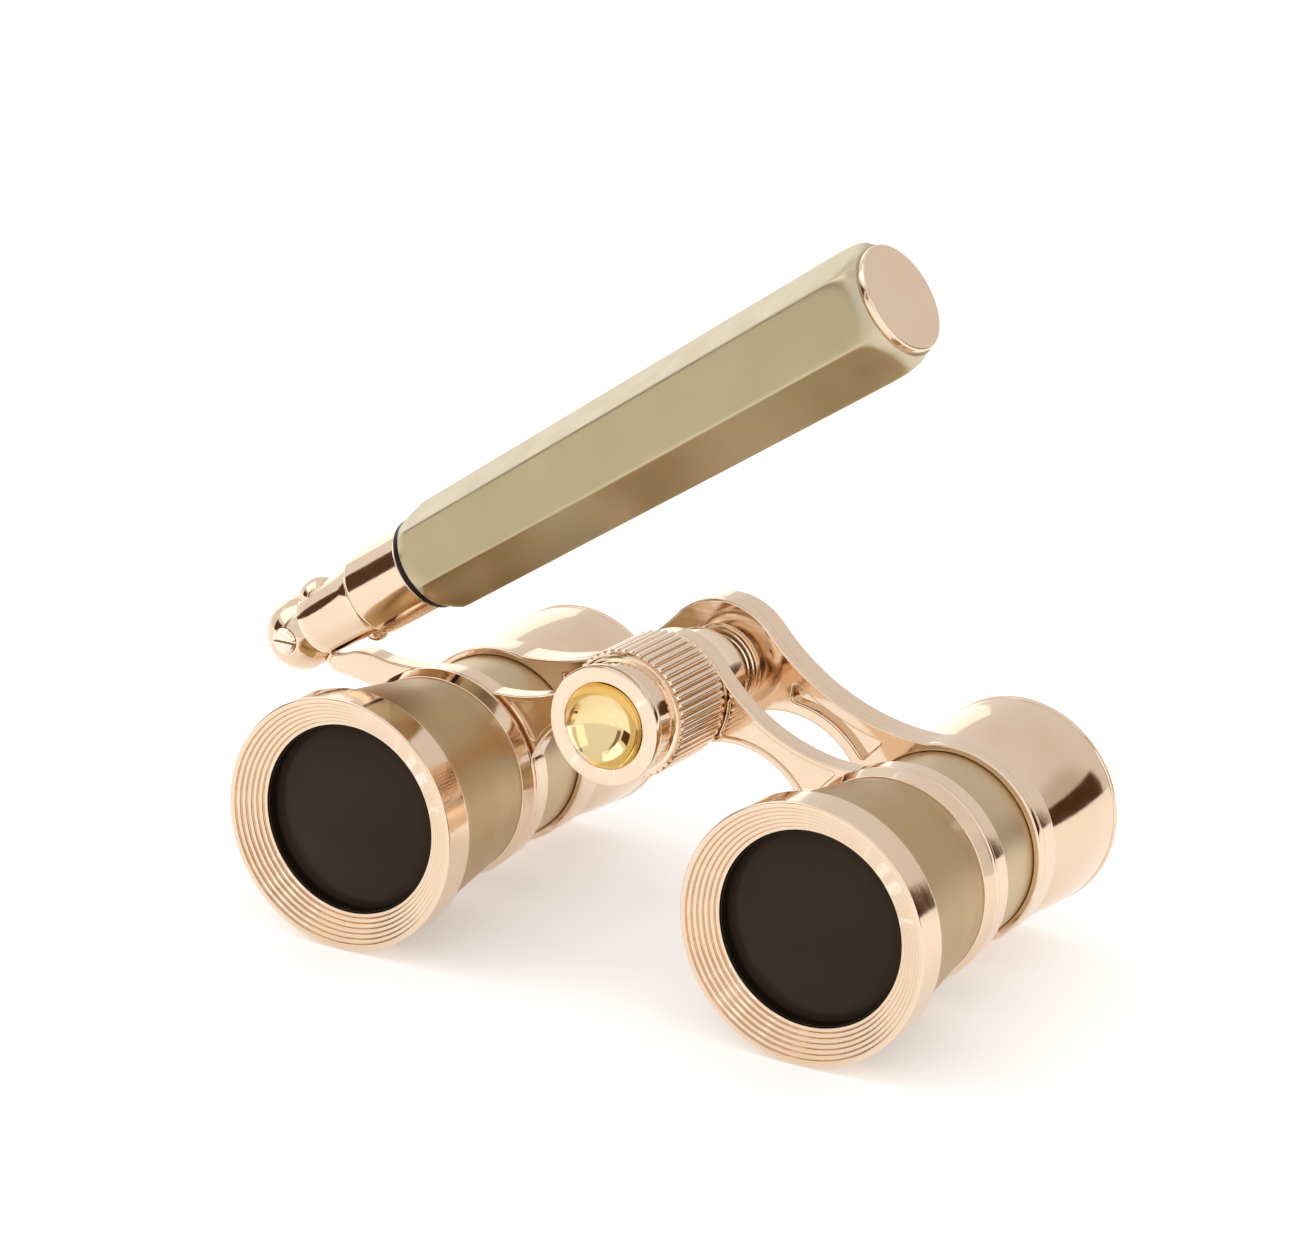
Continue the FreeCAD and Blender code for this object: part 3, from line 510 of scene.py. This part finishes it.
def barrel(side, x):
    """The satin cone that narrows from the ring back to the collar."""
    spigot = 14.5
    bore = 12.2
    points = [(SEAT, SPIGOT_FRONT), (spigot, SPIGOT_FRONT), (spigot, RING_DEPTH)]
    points += bow((15.35, RING_DEPTH), (12.95, CONE_END), -0.12)
    points += [(TAIL, CONE_END), (TAIL, TAIL_END), (bore, TAIL_END), (bore, 11.0), (SEAT, 10.5)]
    lathe(side + "_barrel_cone", points, optical(x), "front_frame", BARREL_SATIN,
          [side + "_barrel"])


def bore_shade(side, x):
    """The blackened wall between the steps and the lens."""
    front = STEPS_DEPTH + 0.15
    points = [(OPENING + 0.02, front, 0.05), (OPENING + 0.02, 4.0, 0.05), (OPENING - 0.15, 3.9, 0.05),
              (OPENING - 0.1, front, 0.05)]
    lathe(side + "_bore_shade", rounded(points, 3), optical(x), "front_frame", BLACK)


def front_lens(side, x):
    """The bulging front of the objective, seen in the ring's opening."""
    rim = 12.85
    points = spherical(rim, LENS_CURVE, LENS_FRONT - sag(LENS_CURVE, rim))
    points += [(rim, LENS_FRONT + 1.0), (0, LENS_FRONT + 2.2)]
    lathe(side + "_front_lens", points, optical(x), "front_frame", OBJECTIVE,
          [side + "_objective_crown"])


def draw_tube(side, x):
    """The satin tube that carries the eyecup and slides in the barrel."""
    outside = 12.08
    points = [(TUBE_BORE, TUBE_FRONT, 0.1), (outside, TUBE_FRONT, 0.1), (outside, CUP_START),
              (TUBE_BORE, CUP_START)]
    lathe(side + "_slide_tube", rounded(points), optical(x), "rear_frame", BARREL_SATIN,
          [side + "_draw_tube"])


def eyecup(side, x):
    """The flared gold cup with a rolled rim, a round dish for the eye and a step for the lens."""
    spigot = 11.45
    spigot_front = 38.0
    pocket = 8.05
    pocket_front = 41.6
    thin = 10.75
    points = [(spigot, spigot_front), (spigot, CUP_START), (11.75, CUP_START + 0.05)]
    points += bow((11.85, 41.9), (13.55, 56.9), -0.55, 20)
    points += [(13.74, 57.15), (13.74, 57.4), (13.6, 57.62), (13.3, CUP_END), (13.05, 57.68)]
    points += bow((12.75, 57.2), (8.1, 48.6), -0.75, 20)
    points += [(7.35, 48.5), (7.3, 47.1), (pocket, 47.05), (pocket, pocket_front), (thin, pocket_front),
               (thin, spigot_front)]
    lathe(side + "_eyecup_flare", points, optical(x), "rear_frame", GOLD,
          [side + "_eyecup"])


def eye_lens(side, x):
    """The hollow-faced lens at the bottom of the dish."""
    rim = 7.95
    hollow = sag(LENS_CURVE, rim)
    points = [(0, EYE_LENS_FRONT + hollow), (rim, EYE_LENS_FRONT)]
    points += spherical(rim, LENS_CURVE, EYE_LENS_REAR - hollow, 1, 16)[::-1]
    lathe(side + "_eye_glass", points, optical(x), "rear_frame", EYE_GLASS,
          [side + "_eye_lens"])


def collar(side, x):
    """The turned collar in front of the bridge's ring: a cone, a groove and a bead."""
    bead = 13.75
    groove = 13.2
    rear = 24.75
    points = [(RING_BORE, CONE_END, 0.05), (13.15, CONE_END, 0.15), (bead, 23.7, 0.15), (bead, 24.1, 0.12),
              (groove, 24.2, 0.08), (groove, rear, 0.05), (RING_BORE, rear)]
    lathe(side + "_collar", rounded(points, 4), optical(x), "front_frame", GOLD)


for side_name, side_x in (("left", LEFT_X), ("right", RIGHT_X)):
    objective_ring(side_name, side_x)
    barrel(side_name, side_x)
    bore_shade(side_name, side_x)
    front_lens(side_name, side_x)
    draw_tube(side_name, side_x)
    eyecup(side_name, side_x)
    eye_lens(side_name, side_x)
    collar(side_name, side_x)


# ---- bridges -------------------------------------------------------------------------------------

class Circle:
    """A circle in the plane of a bridge: x to the right, z up from the optical axes."""

    def __init__(self, x, z, radius):
        self.centre = Vector((x, z))
        self.radius = radius

    def grown(self, extra):
        return Circle(self.centre.x, self.centre.y, self.radius + extra)

    def at(self, angle):
        return self.centre + Vector((math.cos(angle), math.sin(angle))) * self.radius

    def angle(self, point):
        away = point - self.centre
        return math.atan2(away.y, away.x)

    def meets(self, other, choose):
        """The crossing with another circle for which choose gives the largest number."""
        apart = other.centre - self.centre
        distance = apart.length
        reach = (self.radius ** 2 - other.radius ** 2 + distance ** 2) / (2 * distance)
        height = math.sqrt(max(self.radius ** 2 - reach ** 2, 0))
        along = apart / distance
        across = Vector((-along.y, along.x))
        base = self.centre + along * reach
        return max((base + across * height, base - across * height), key=choose)

    def arc(self, start, end, turn, spacing=0.35):
        """Points from the angle start to the angle end. turn is 1 for anticlockwise, -1 for clockwise."""
        sweep = (end - start) * turn % (2 * math.pi)
        steps = max(2, int(sweep * self.radius / spacing))
        return [self.at(start + turn * sweep * step / steps) for step in range(steps + 1)]

    def short_arc(self, start, end, spacing=0.35):
        first = self.angle(start)
        last = self.angle(end)
        turn = 1 if (last - first) % (2 * math.pi) < math.pi else -1
        return self.arc(first, last, turn, spacing)


def mirrored(points):
    return [Vector((-p[0], p[1])) for p in reversed(points)]


def joined(*runs):
    """One closed loop from runs of points, without doubled points."""
    loop = []
    for run in runs:
        for point in run:
            if not loop or (Vector(point) - loop[-1]).length > 0.02:
                loop.append(Vector(point))
    if (loop[0] - loop[-1]).length < 0.02:
        loop.pop()
    return loop


class Bridge:
    """The circles that make a bridge's outline."""

    def __init__(self, hub_radius, ring_radius, saddle, arch):
        self.hub = Circle(0, HUB_RISE, hub_radius)
        self.ring = Circle(AXIS_HALF, 0, ring_radius)
        self.arch = Circle(*arch)
        x, z = saddle
        self.saddle = Circle(x, z, (Vector((x, z)) - self.hub.centre).length - hub_radius)
        self.corner = self.ring.meets(self.saddle, lambda p: -p.x)

    def right_top(self):
        """From the top of the hub over the saddle to the top of the right ring."""
        top = self.hub.angle(self.saddle.centre)
        hub = self.hub.arc(math.pi / 2, top, -1)
        saddle = self.saddle.arc(top + math.pi, self.saddle.angle(self.corner), 1)
        return hub + saddle

    def ring_round(self):
        """From the top of the right ring round its outside to the arch."""
        foot = self.ring.meets(self.arch, lambda p: p.y)
        return self.ring.arc(self.ring.angle(self.corner), self.ring.angle(foot), -1)

    def right_arch(self):
        """From the ring over the arch to the middle."""
        foot = self.ring.meets(self.arch, lambda p: p.y)
        crown = math.acos(-self.arch.centre.x / self.arch.radius)
        return self.arch.arc(self.arch.angle(foot), crown, 1)

    def outline(self, left_ring=None):
        right = self.right_top() + self.ring_round() + self.right_arch()
        left = mirrored(self.right_arch()) + (left_ring or mirrored(self.ring_round()))
        return joined(right, left, mirrored(self.right_top()))

    def field(self, width):
        """The right-hand hollow inside a rim of the given width."""
        hub = self.hub.grown(width)
        ring = self.ring.grown(width)
        saddle = self.saddle.grown(width)
        arch = self.arch.grown(width)
        by_hub = hub.meets(saddle, lambda p: p.x - p.y)
        by_ring = ring.meets(saddle, lambda p: -p.x - p.y)
        foot = ring.meets(arch, lambda p: p.y)
        crown = hub.meets(arch, lambda p: p.x)
        corners = saddle.short_arc(by_hub, by_ring) + ring.short_arc(by_ring, foot)
        corners += arch.short_arc(foot, crown) + hub.short_arc(crown, by_hub)
        return softened(joined(corners), 5)


def softened(loop, passes):
    """The loop with its corners eased by averaging neighbours."""
    for _ in range(passes):
        count = len(loop)
        loop = [loop[i - 1] * 0.25 + loop[i] * 0.5 + loop[(i + 1) % count] * 0.25 for i in range(count)]
    return loop


def hole(x, z, radius):
    circle = Circle(x, z, radius)
    return circle.arc(0, 2 * math.pi - 1e-6, 1, 0.4)[:-1]


def bridge_plates(name, shape, front, rear, rim_width, rim_height, bevel, bore, hub_bore, body,
                  left_ring=None):
    """The body of a bridge behind, and in front of it the rim that stands proud of the webs."""
    outline = shape.outline(left_ring)
    bores = [hole(AXIS_HALF, 0, bore), hole(-AXIS_HALF, 0, bore), hole(0, HUB_RISE, hub_bore)]
    plate(name + "_back", [outline] + bores, front + rim_height, rear, bevel, body, GOLD,
          [name])
    fields = [shape.field(rim_width), mirrored(shape.field(rim_width))]
    plate(name + "_rim", [outline] + bores + fields, front, front + rim_height + 2.2 * bevel, bevel, body,
          GOLD)


ARM_NEAR = PIVOT_X + 5.1


def left_ring_with_arm(shape):
    """The left ring's outside, with the arm running out from its upper left."""
    ring = Circle(-AXIS_HALF, 0, shape.ring.radius)
    right = mirrored(shape.ring_round())
    low_join = math.radians(138)
    high_join = math.radians(94)
    start = ring.angle(right[0])
    end = ring.angle(right[-1])
    lower = ring.arc(start, low_join, -1)
    upper = ring.arc(high_join, end, -1)
    z = PIVOT_RISE
    low_edge = [(PIVOT_X + 11.0, z - 4.6), (PIVOT_X + 8.0, z - 4.1), (ARM_NEAR, z - 3.6)]
    high_edge = [(ARM_NEAR, z - 1.9), (PIVOT_X + 6.8, z - 1.3), (PIVOT_X + 8.8, z - 0.6),
                 (PIVOT_X + 10.9, z - 0.55), (PIVOT_X + 13.4, z - 0.95), (PIVOT_X + 17.6, z - 1.0)]
    arm = [Vector(p) for p in low_edge + high_edge]
    return lower + smooth_run([lower[-1]] + arm + [upper[0]]) + upper


def smooth_run(points, steps=6):
    """A smooth curve through the points."""
    result = []
    last = len(points) - 1
    for index in range(last):
        a = points[max(index - 1, 0)]
        b = points[index]
        c = points[index + 1]
        d = points[min(index + 2, last)]
        for step in range(steps):
            t = step / steps
            result.append(0.5 * (2 * b + (c - a) * t + (2 * a - 5 * b + 4 * c - d) * t ** 2
                                 + (3 * b - a - 3 * c + d) * t ** 3))
    result.append(points[last])
    return result


FRONT_BRIDGE = Bridge(hub_radius=7.5, ring_radius=13.5, saddle=(25.5, 36.4), arch=(8.9, 0.6, 11.4))
REAR_BRIDGE = Bridge(hub_radius=8.8, ring_radius=13.1, saddle=(29.0, 42.7), arch=(9.6, 1.4, 11.4))
bridge_plates("front_bridge", FRONT_BRIDGE, front=24.6, rear=27.6, rim_width=0.8, rim_height=0.35,
              bevel=0.22, bore=RING_BORE, hub_bore=3.0, body="front_frame",
              left_ring=left_ring_with_arm(FRONT_BRIDGE))
bridge_plates("rear_bridge", REAR_BRIDGE, front=37.0, rear=41.5, rim_width=1.7, rim_height=1.1,
              bevel=0.3, bore=12.1, hub_bore=4.2, body="rear_frame")


def arm_tongue():
    """The thin tongue with the round eye that fits in the fork's slot."""
    eye = Circle(PIVOT_X, PIVOT_RISE, 2.85)
    start = math.radians(35)
    end = math.radians(-75)
    loop = eye.arc(start, end, 1)
    loop += [Vector((PIVOT_X + 6.3, PIVOT_RISE - 3.4)), Vector((PIVOT_X + 5.3, PIVOT_RISE - 2.6))]
    bore = hole(PIVOT_X, PIVOT_RISE, 1.55)
    plate("arm_tongue", [loop, bore], PIVOT_Y - 0.98, PIVOT_Y + 0.98, 0.12, "front_frame", GOLD)


arm_tongue()


# ---- focusing wheel ------------------------------------------------------------------------------

def focus_dish():
    """The wheel's polished front: flat rim, fine groove and a round-bottomed hollow."""
    front = 8.5
    rim = 7.54
    neck_radius = 7.12
    spigot = 4.0
    spigot_end = 16.9
    hollow = 5.4
    curve = 6.07
    lip = 8.75
    bottom = lip + sag(curve, hollow)
    points = spherical(hollow, curve, bottom, -1, 32)
    points += [(5.46, 8.62), (5.54, 8.52), (5.65, front), (7.3, front), (7.45, 8.56), (rim, lip), (rim, 9.6),
               (7.42, 9.85), (7.18, 10.05), (neck_radius, 10.3), (neck_radius, 13.0), (7.2, 13.25),
               (spigot, 13.3), (spigot, spigot_end), (0, spigot_end)]
    lathe("focus_wheel_dish", points, optical(CENTRE_X), "focus_wheel", GOLD,
          ["focus_dish"])
    mirror = hollow - 0.03
    inlay = spherical(mirror, curve, bottom - 0.03, -1, 32)
    inlay += spherical(mirror, curve, bottom + 0.06, -1, 32)[::-1]
    lathe("focus_wheel_mirror", inlay, optical(CENTRE_X), "focus_wheel", DISH_GOLD)


FLUTES = 48
FLUTE_FLOOR = 7.7
DRUM = 8.18
DRUM_FRONT = 13.6
DRUM_REAR = 23.9


def focus_drum():
    """The drum with round ribs between narrow grooves, cut square at both ends."""
    edge = 0.18
    face = 13.32
    back = 24.38
    bore = 4.1
    screw_bore = 2.05
    shoulder = 7.62
    points = [(bore, face), (7.45, face), (shoulder, 13.42), (shoulder, DRUM_FRONT), (8.02, DRUM_FRONT)]
    rows = 12
    length = DRUM_REAR - DRUM_FRONT - 2 * edge
    for row in range(rows + 1):
        points.append((DRUM, DRUM_FRONT + edge + length * row / rows))
    points += [(8.02, DRUM_REAR), (shoulder, DRUM_REAR), (7.5, 24.25), (7.2, back), (screw_bore, back),
               (screw_bore, 17.0), (bore, 17.0)]

    def fluted(radius, along, angle):
        if radius < FLUTE_FLOOR:
            return radius
        rib = abs(math.sin(FLUTES * angle / 2)) ** 0.45
        return FLUTE_FLOOR + (radius - FLUTE_FLOOR) * rib

    lathe("focus_wheel_drum", points, optical(CENTRE_X), "focus_wheel", GOLD,
          ["focus_drum"], segments=FLUTES * 12, radius_at=fluted)


def guide_sleeve():
    """The round-ended sleeve behind the front hub."""
    radius = 6.28
    front = 27.65
    side_end = 32.1
    rounding = 2.08
    collar_bore = 2.95
    screw_bore = 2.08
    points = [(collar_bore, front), (radius, front), (radius, side_end)]
    points += rounded_end(radius, side_end, rounding, rounding, 12)
    points += [(screw_bore, 34.15), (screw_bore, 29.6), (collar_bore, 29.5)]
    lathe("guide_sleeve", points, optical(CENTRE_X), "front_frame", GOLD,
          ["spindle_sleeve"])


def rear_hub_rings():
    """The nut's nose and flange, turned in fine rings, in front of the rear hub."""
    bore = 1.78
    nose = 2.45
    nose_front = 35.95
    flange = 5.55
    flange_front = 36.5
    shank = 4.15
    rear = 41.4
    ring_height = 0.16
    ring_pitch = 0.72
    points = [(bore, nose_front, 0.05), (nose, nose_front, 0.12)]
    edge = nose
    while edge < flange - ring_pitch / 2:
        points.append((edge, flange_front, 0.08))
        points.append((edge + 0.18, flange_front - ring_height, 0.08))
        points.append((edge + 0.40, flange_front - ring_height, 0.08))
        points.append((edge + 0.55, flange_front, 0.08))
        edge += ring_pitch
    points += [(flange, flange_front, 0.1), (flange + 0.03, 36.98, 0.05), (shank, 37.0), (shank, rear),
               (bore, rear)]
    lathe("rear_hub_rings", rounded(points, 3), optical(CENTRE_X), "rear_frame", GOLD,
          ["spindle_nut"])


def rear_cap():
    """The domed cap behind the rear hub."""
    bore = 2.35
    front = 41.6
    foot = 5.58
    radius = 5.3
    side_end = 44.0
    inner_end = 45.4
    points = [(bore, front), (5.45, front), (foot, 41.75), (foot, 42.3), (radius, 42.6), (radius, side_end)]
    points += rounded_end(radius, side_end, 2.1, 2.55, 14)
    points += [(0, 46.58), (0, inner_end), (bore, inner_end)]
    lathe("rear_cap_dome", points, optical(CENTRE_X), "rear_frame", GOLD,
          ["rear_hub_cap"])


focus_dish()
focus_drum()
guide_sleeve()
rear_hub_rings()
rear_cap()


# ---- handle --------------------------------------------------------------------------------------

# Places along the handle count from the pivot.
BALL = 4.9
SLOT_HALF = 1.15
SCREW_BORE = 1.52
HEAD_BORE = 1.76
NECK_END = 12.4
FERRULE = 5.68
FERRULE_END = 22.1
INNER_TUBE = 3.5
SLEEVE_BORE = 4.18


def cheek(name, sign):
    """One cheek of the slotted ball: a cap of the sphere, bored for the screw."""
    seat = [(SCREW_BORE, -3.95), (HEAD_BORE - 0.02, -3.95)] if sign < 0 else []
    start = math.acos((HEAD_BORE if sign < 0 else SCREW_BORE) / BALL)
    end = math.asin(SLOT_HALF / BALL)
    steps = 28
    arc = []
    for step in range(steps + 1):
        angle = start + (end - start) * step / steps
        arc.append((BALL * math.cos(angle), sign * BALL * math.sin(angle)))
    flat = arc[-1][0]
    points = seat + arc + [(flat - 0.12, sign * SLOT_HALF), (SCREW_BORE, sign * SLOT_HALF)]
    lathe(name, points[::-sign], PIVOT_AXIS, "handle_arm", GOLD)


def neck():
    """The neck that widens from the ball to the groove in front of the ferrule."""
    points = [(0, 3.9), (2.9, 3.9), (4.1, 2.7), (4.2, 3.4), (4.3, 4.6), (4.38, 5.8), (4.48, 7.4),
              (4.62, 9.2), (4.8, 11.0), (4.98, 12.2), (4.95, NECK_END), (0, NECK_END)]
    lathe("neck", points, HANDLE, "handle_arm", GOLD)


def ferrule():
    """The polished ferrule that holds the handle's tube, with a groove towards the neck."""
    groove = 4.7
    front = NECK_END - 0.1
    tube_start = 14.0
    points = [(0, front), (groove, front, 0.03), (groove, 12.9, 0.1), (FERRULE, 13.0, 0.4),
              (FERRULE, FERRULE_END, 0.3), (INNER_TUBE, FERRULE_END + 0.05, 0.05),
              (INNER_TUBE, tube_start), (0, tube_start)]
    lathe("ferrule", rounded(points, 4), HANDLE, "handle_arm", GOLD, ["handle_fork"])


def round_boss(name, radius, down, along):
    """A small polished ball that stands out of the neck."""
    steps = 24
    points = [(0, -radius)]
    for step in range(1, steps):
        angle = math.pi * step / steps - math.pi / 2
        points.append((radius * math.cos(angle), radius * math.sin(angle)))
    points.append((0, radius))
    matrix = HANDLE @ Matrix.Translation(Vector((down, 0, along)) * MM)
    lathe(name, points, matrix, "handle_arm", GOLD, segments=64)


def mouth_ring():
    """The dark ring between the ferrule and the sleeve."""
    bore = INNER_TUBE + 0.04
    front = 22.32
    lip_end = 23.3
    rear = 27.6
    points = [(bore, front, 0.05), (6.1, front, 0.25), (6.18, lip_end, 0.05), (SLEEVE_BORE, lip_end),
              (SLEEVE_BORE, rear), (bore, rear)]
    lathe("mouth_ring", rounded(points, 4), HANDLE, "handle_grip", BLACK,
          ["handle_mouth_ring"])


HEX_TURN = math.radians(9)
HEX_START = 23.32
HEX_END = 100.6
MOUTH = 6.2
END_FACE = 6.95
# Half the width across the flats at both ends, and the outline's radius where the flats are cut.
NEAR_FLAT = 7.25 * math.cos(math.pi / 6)
FAR_FLAT = 8.6 * math.cos(math.pi / 6)
FLATS = 9.0


def sleeve():
    """The six-sided sleeve: flats that widen to the far end, eased edges, and both ends turned."""
    bore = 4.22
    inset = 0.05
    rows = 90
    points = [(bore, HEX_START), (MOUTH, HEX_START)]
    for row in range(rows + 1):
        points.append((FLATS, HEX_START + inset + (HEX_END - HEX_START - 2 * inset) * (row / rows)))
    points += [(END_FACE, HEX_END), (bore, HEX_END)]
    sharpness = 90
    blend = 40
    end_round = 5.2

    def hexagonal(radius, along, angle):
        if radius < FLATS:
            return radius
        share = (along - HEX_START) / (HEX_END - HEX_START)
        flat = NEAR_FLAT + (FAR_FLAT - NEAR_FLAT) * share
        total = 0
        for face in range(6):
            facing = math.cos(angle - (-math.pi / 2 - HEX_TURN + face * math.pi / 3))
            total += max(facing, 0) ** sharpness
        six_sided = flat / total ** (1 / sharpness)
        near = MOUTH + (along - HEX_START) * 0.66
        from_end = max(HEX_END - along, 0)
        bulge = math.sqrt(max(1 - (1 - min(from_end / end_round, 1)) ** 2, 0))
        far = END_FACE + 1.75 * bulge + from_end * 0.02
        turned = min(near, far)
        return (six_sided ** -blend + turned ** -blend) ** (-1 / blend)

    lathe("hex_sleeve", points, HANDLE, "handle_grip", CHAMPAGNE, ["handle_sleeve"],
          segments=360, radius_at=hexagonal)


def end_cap():
    """The plain gold disc in the far end."""
    disc = 6.9
    inner_end = 95.0
    points = [(0, inner_end), (SLEEVE_BORE, inner_end), (SLEEVE_BORE, 100.58), (disc, 100.62, 0.05),
              (disc, 101.58, 0.3), (0, 101.6)]
    lathe("end_cap_disc", rounded(points, 4), HANDLE, "handle_grip", GOLD,
          ["handle_end_cap"])


cheek("front_cheek", -1)
cheek("rear_cheek", 1)
neck()
ferrule()
round_boss("upper_boss", radius=2.7, down=-3.0, along=4.8)
round_boss("stop_lug", radius=1.6, down=4.1, along=10.6)
mouth_ring()
sleeve()
end_cap()
finish_cad_nodes()


# ---- floor and light -----------------------------------------------------------------------------

def make_floor():
    """A plain pale floor under the object."""
    half = 3.0
    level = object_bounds()[0][2] - 0.0001
    mesh = bpy.data.meshes.new("floor")
    corners = [(x * half, y * half, level) for x, y in ((-1, -1), (1, -1), (1, 1), (-1, 1))]
    mesh.from_pydata(corners, [], [(0, 1, 2, 3)])
    m = Nodes("pale_floor")
    base = m.mix(m.noise(m.place(), 3, 2), (0.90, 0.90, 0.89), (0.93, 0.93, 0.92))
    m.link(base, m.shader.inputs["Base Color"])
    m.value("Roughness", 0.9)
    m.value("Emission Color", (1, 1, 1, 1))
    m.value("Emission Strength", 0.3)
    mesh.materials.append(m.material)
    floor = bpy.data.objects.new("floor", mesh)
    bpy.context.collection.objects.link(floor)


def soft_light(name, place, size, power):
    """A rectangular light aimed at the object. Metres and watts."""
    data = bpy.data.lights.new(name, "AREA")
    data.shape = "RECTANGLE"
    data.size = size[0]
    data.size_y = size[1]
    data.energy = power
    light = bpy.data.objects.new(name, data)
    target = Vector((CENTRE_X, 0, 0.03))
    light.location = Vector(place)
    light.rotation_euler = (target - light.location).to_track_quat("-Z", "Y").to_euler()
    bpy.context.collection.objects.link(light)


# Dim and dark panels round the studio: azimuth from and to, elevation from and to, the width of
# the soft edge outside, all in degrees, and the light that is left. Azimuth 0 is +X and 90 is +Y.
DARK_PANELS = ((-167, -137, -8, 18, 1.5, 0.04), (-6, 16, 42, 53, 1.5, 0.10), (28, 58, 0, 14, 1.5, 0.02),
               (26, 50, 8, 24, 10.0, 0.75), (40, 110, 0, 45, 28.0, 0.88),
               (-130, -121, 5, 60, 1.5, 0.30), (-20, -12, 5, 60, 1.5, 0.45))


def product(tree, first, second):
    """A node that multiplies two outputs."""
    node = tree.nodes.new("ShaderNodeMath")
    node.operation = "MULTIPLY"
    tree.links.new(first, node.inputs[0])
    tree.links.new(second, node.inputs[1])
    return node.outputs["Value"]


def window(tree, source, low, high, edge):
    """1 where the source is between low and high, falling to 0 over the edge outside."""
    sides = []
    for start, full in ((low - edge, low), (high + edge, high)):
        side = tree.nodes.new("ShaderNodeMapRange")
        side.inputs["From Min"].default_value = start
        side.inputs["From Max"].default_value = full
        tree.links.new(source, side.inputs["Value"])
        sides.append(side.outputs["Result"])
    return product(tree, *sides)


def make_world():
    """A pale studio all round the object, with dim and dark panels for the polished metal to reflect."""
    world = bpy.data.worlds.new("studio")
    bpy.context.scene.world = world
    world.use_nodes = True
    tree = world.node_tree
    place = tree.nodes.new("ShaderNodeTexCoord").outputs["Generated"]
    round_about = tree.nodes.new("ShaderNodeTexGradient")
    round_about.gradient_type = "RADIAL"
    tree.links.new(place, round_about.inputs["Vector"])
    height = tree.nodes.new("ShaderNodeSeparateXYZ")
    tree.links.new(place, height.inputs["Vector"])
    light = None
    for from_azimuth, to_azimuth, from_elevation, to_elevation, edge, level in DARK_PANELS:
        across = window(tree, round_about.outputs["Fac"], 0.5 + from_azimuth / 360,
                        0.5 + to_azimuth / 360, edge / 360)
        upright = window(tree, height.outputs["Z"], math.sin(math.radians(from_elevation)),
                         math.sin(math.radians(to_elevation)), math.radians(edge))
        fade = tree.nodes.new("ShaderNodeMapRange")
        fade.inputs["To Min"].default_value = 1.0
        fade.inputs["To Max"].default_value = level
        tree.links.new(product(tree, across, upright), fade.inputs["Value"])
        light = product(tree, light, fade.outputs["Result"]) if light else fade.outputs["Result"]
    tint = tree.nodes.new("ShaderNodeValToRGB")
    tint.color_ramp.elements[0].color = (0.075, 0.030, 0.012, 1)
    tint.color_ramp.elements[1].color = (1, 1, 1, 1)
    tint.color_ramp.elements.new(0.4).color = (0.40, 0.29, 0.20, 1)
    tree.links.new(light, tint.inputs["Fac"])
    background = tree.nodes["Background"]
    tree.links.new(tint.outputs["Color"], background.inputs["Color"])
    background.inputs["Strength"].default_value = 0.93


make_floor()
make_world()
soft_light("key_light", (-0.8, -0.4, 1.0), (1.0, 1.0), 2.6)
soft_light("fill_light", (0.9, -0.3, 0.5), (0.9, 1.0), 1.3)
soft_light("left_rear_light", (-0.95, 0.8, 0.3), (0.9, 0.6), 0.9)
bpy.context.scene.view_settings.view_transform = "Standard"
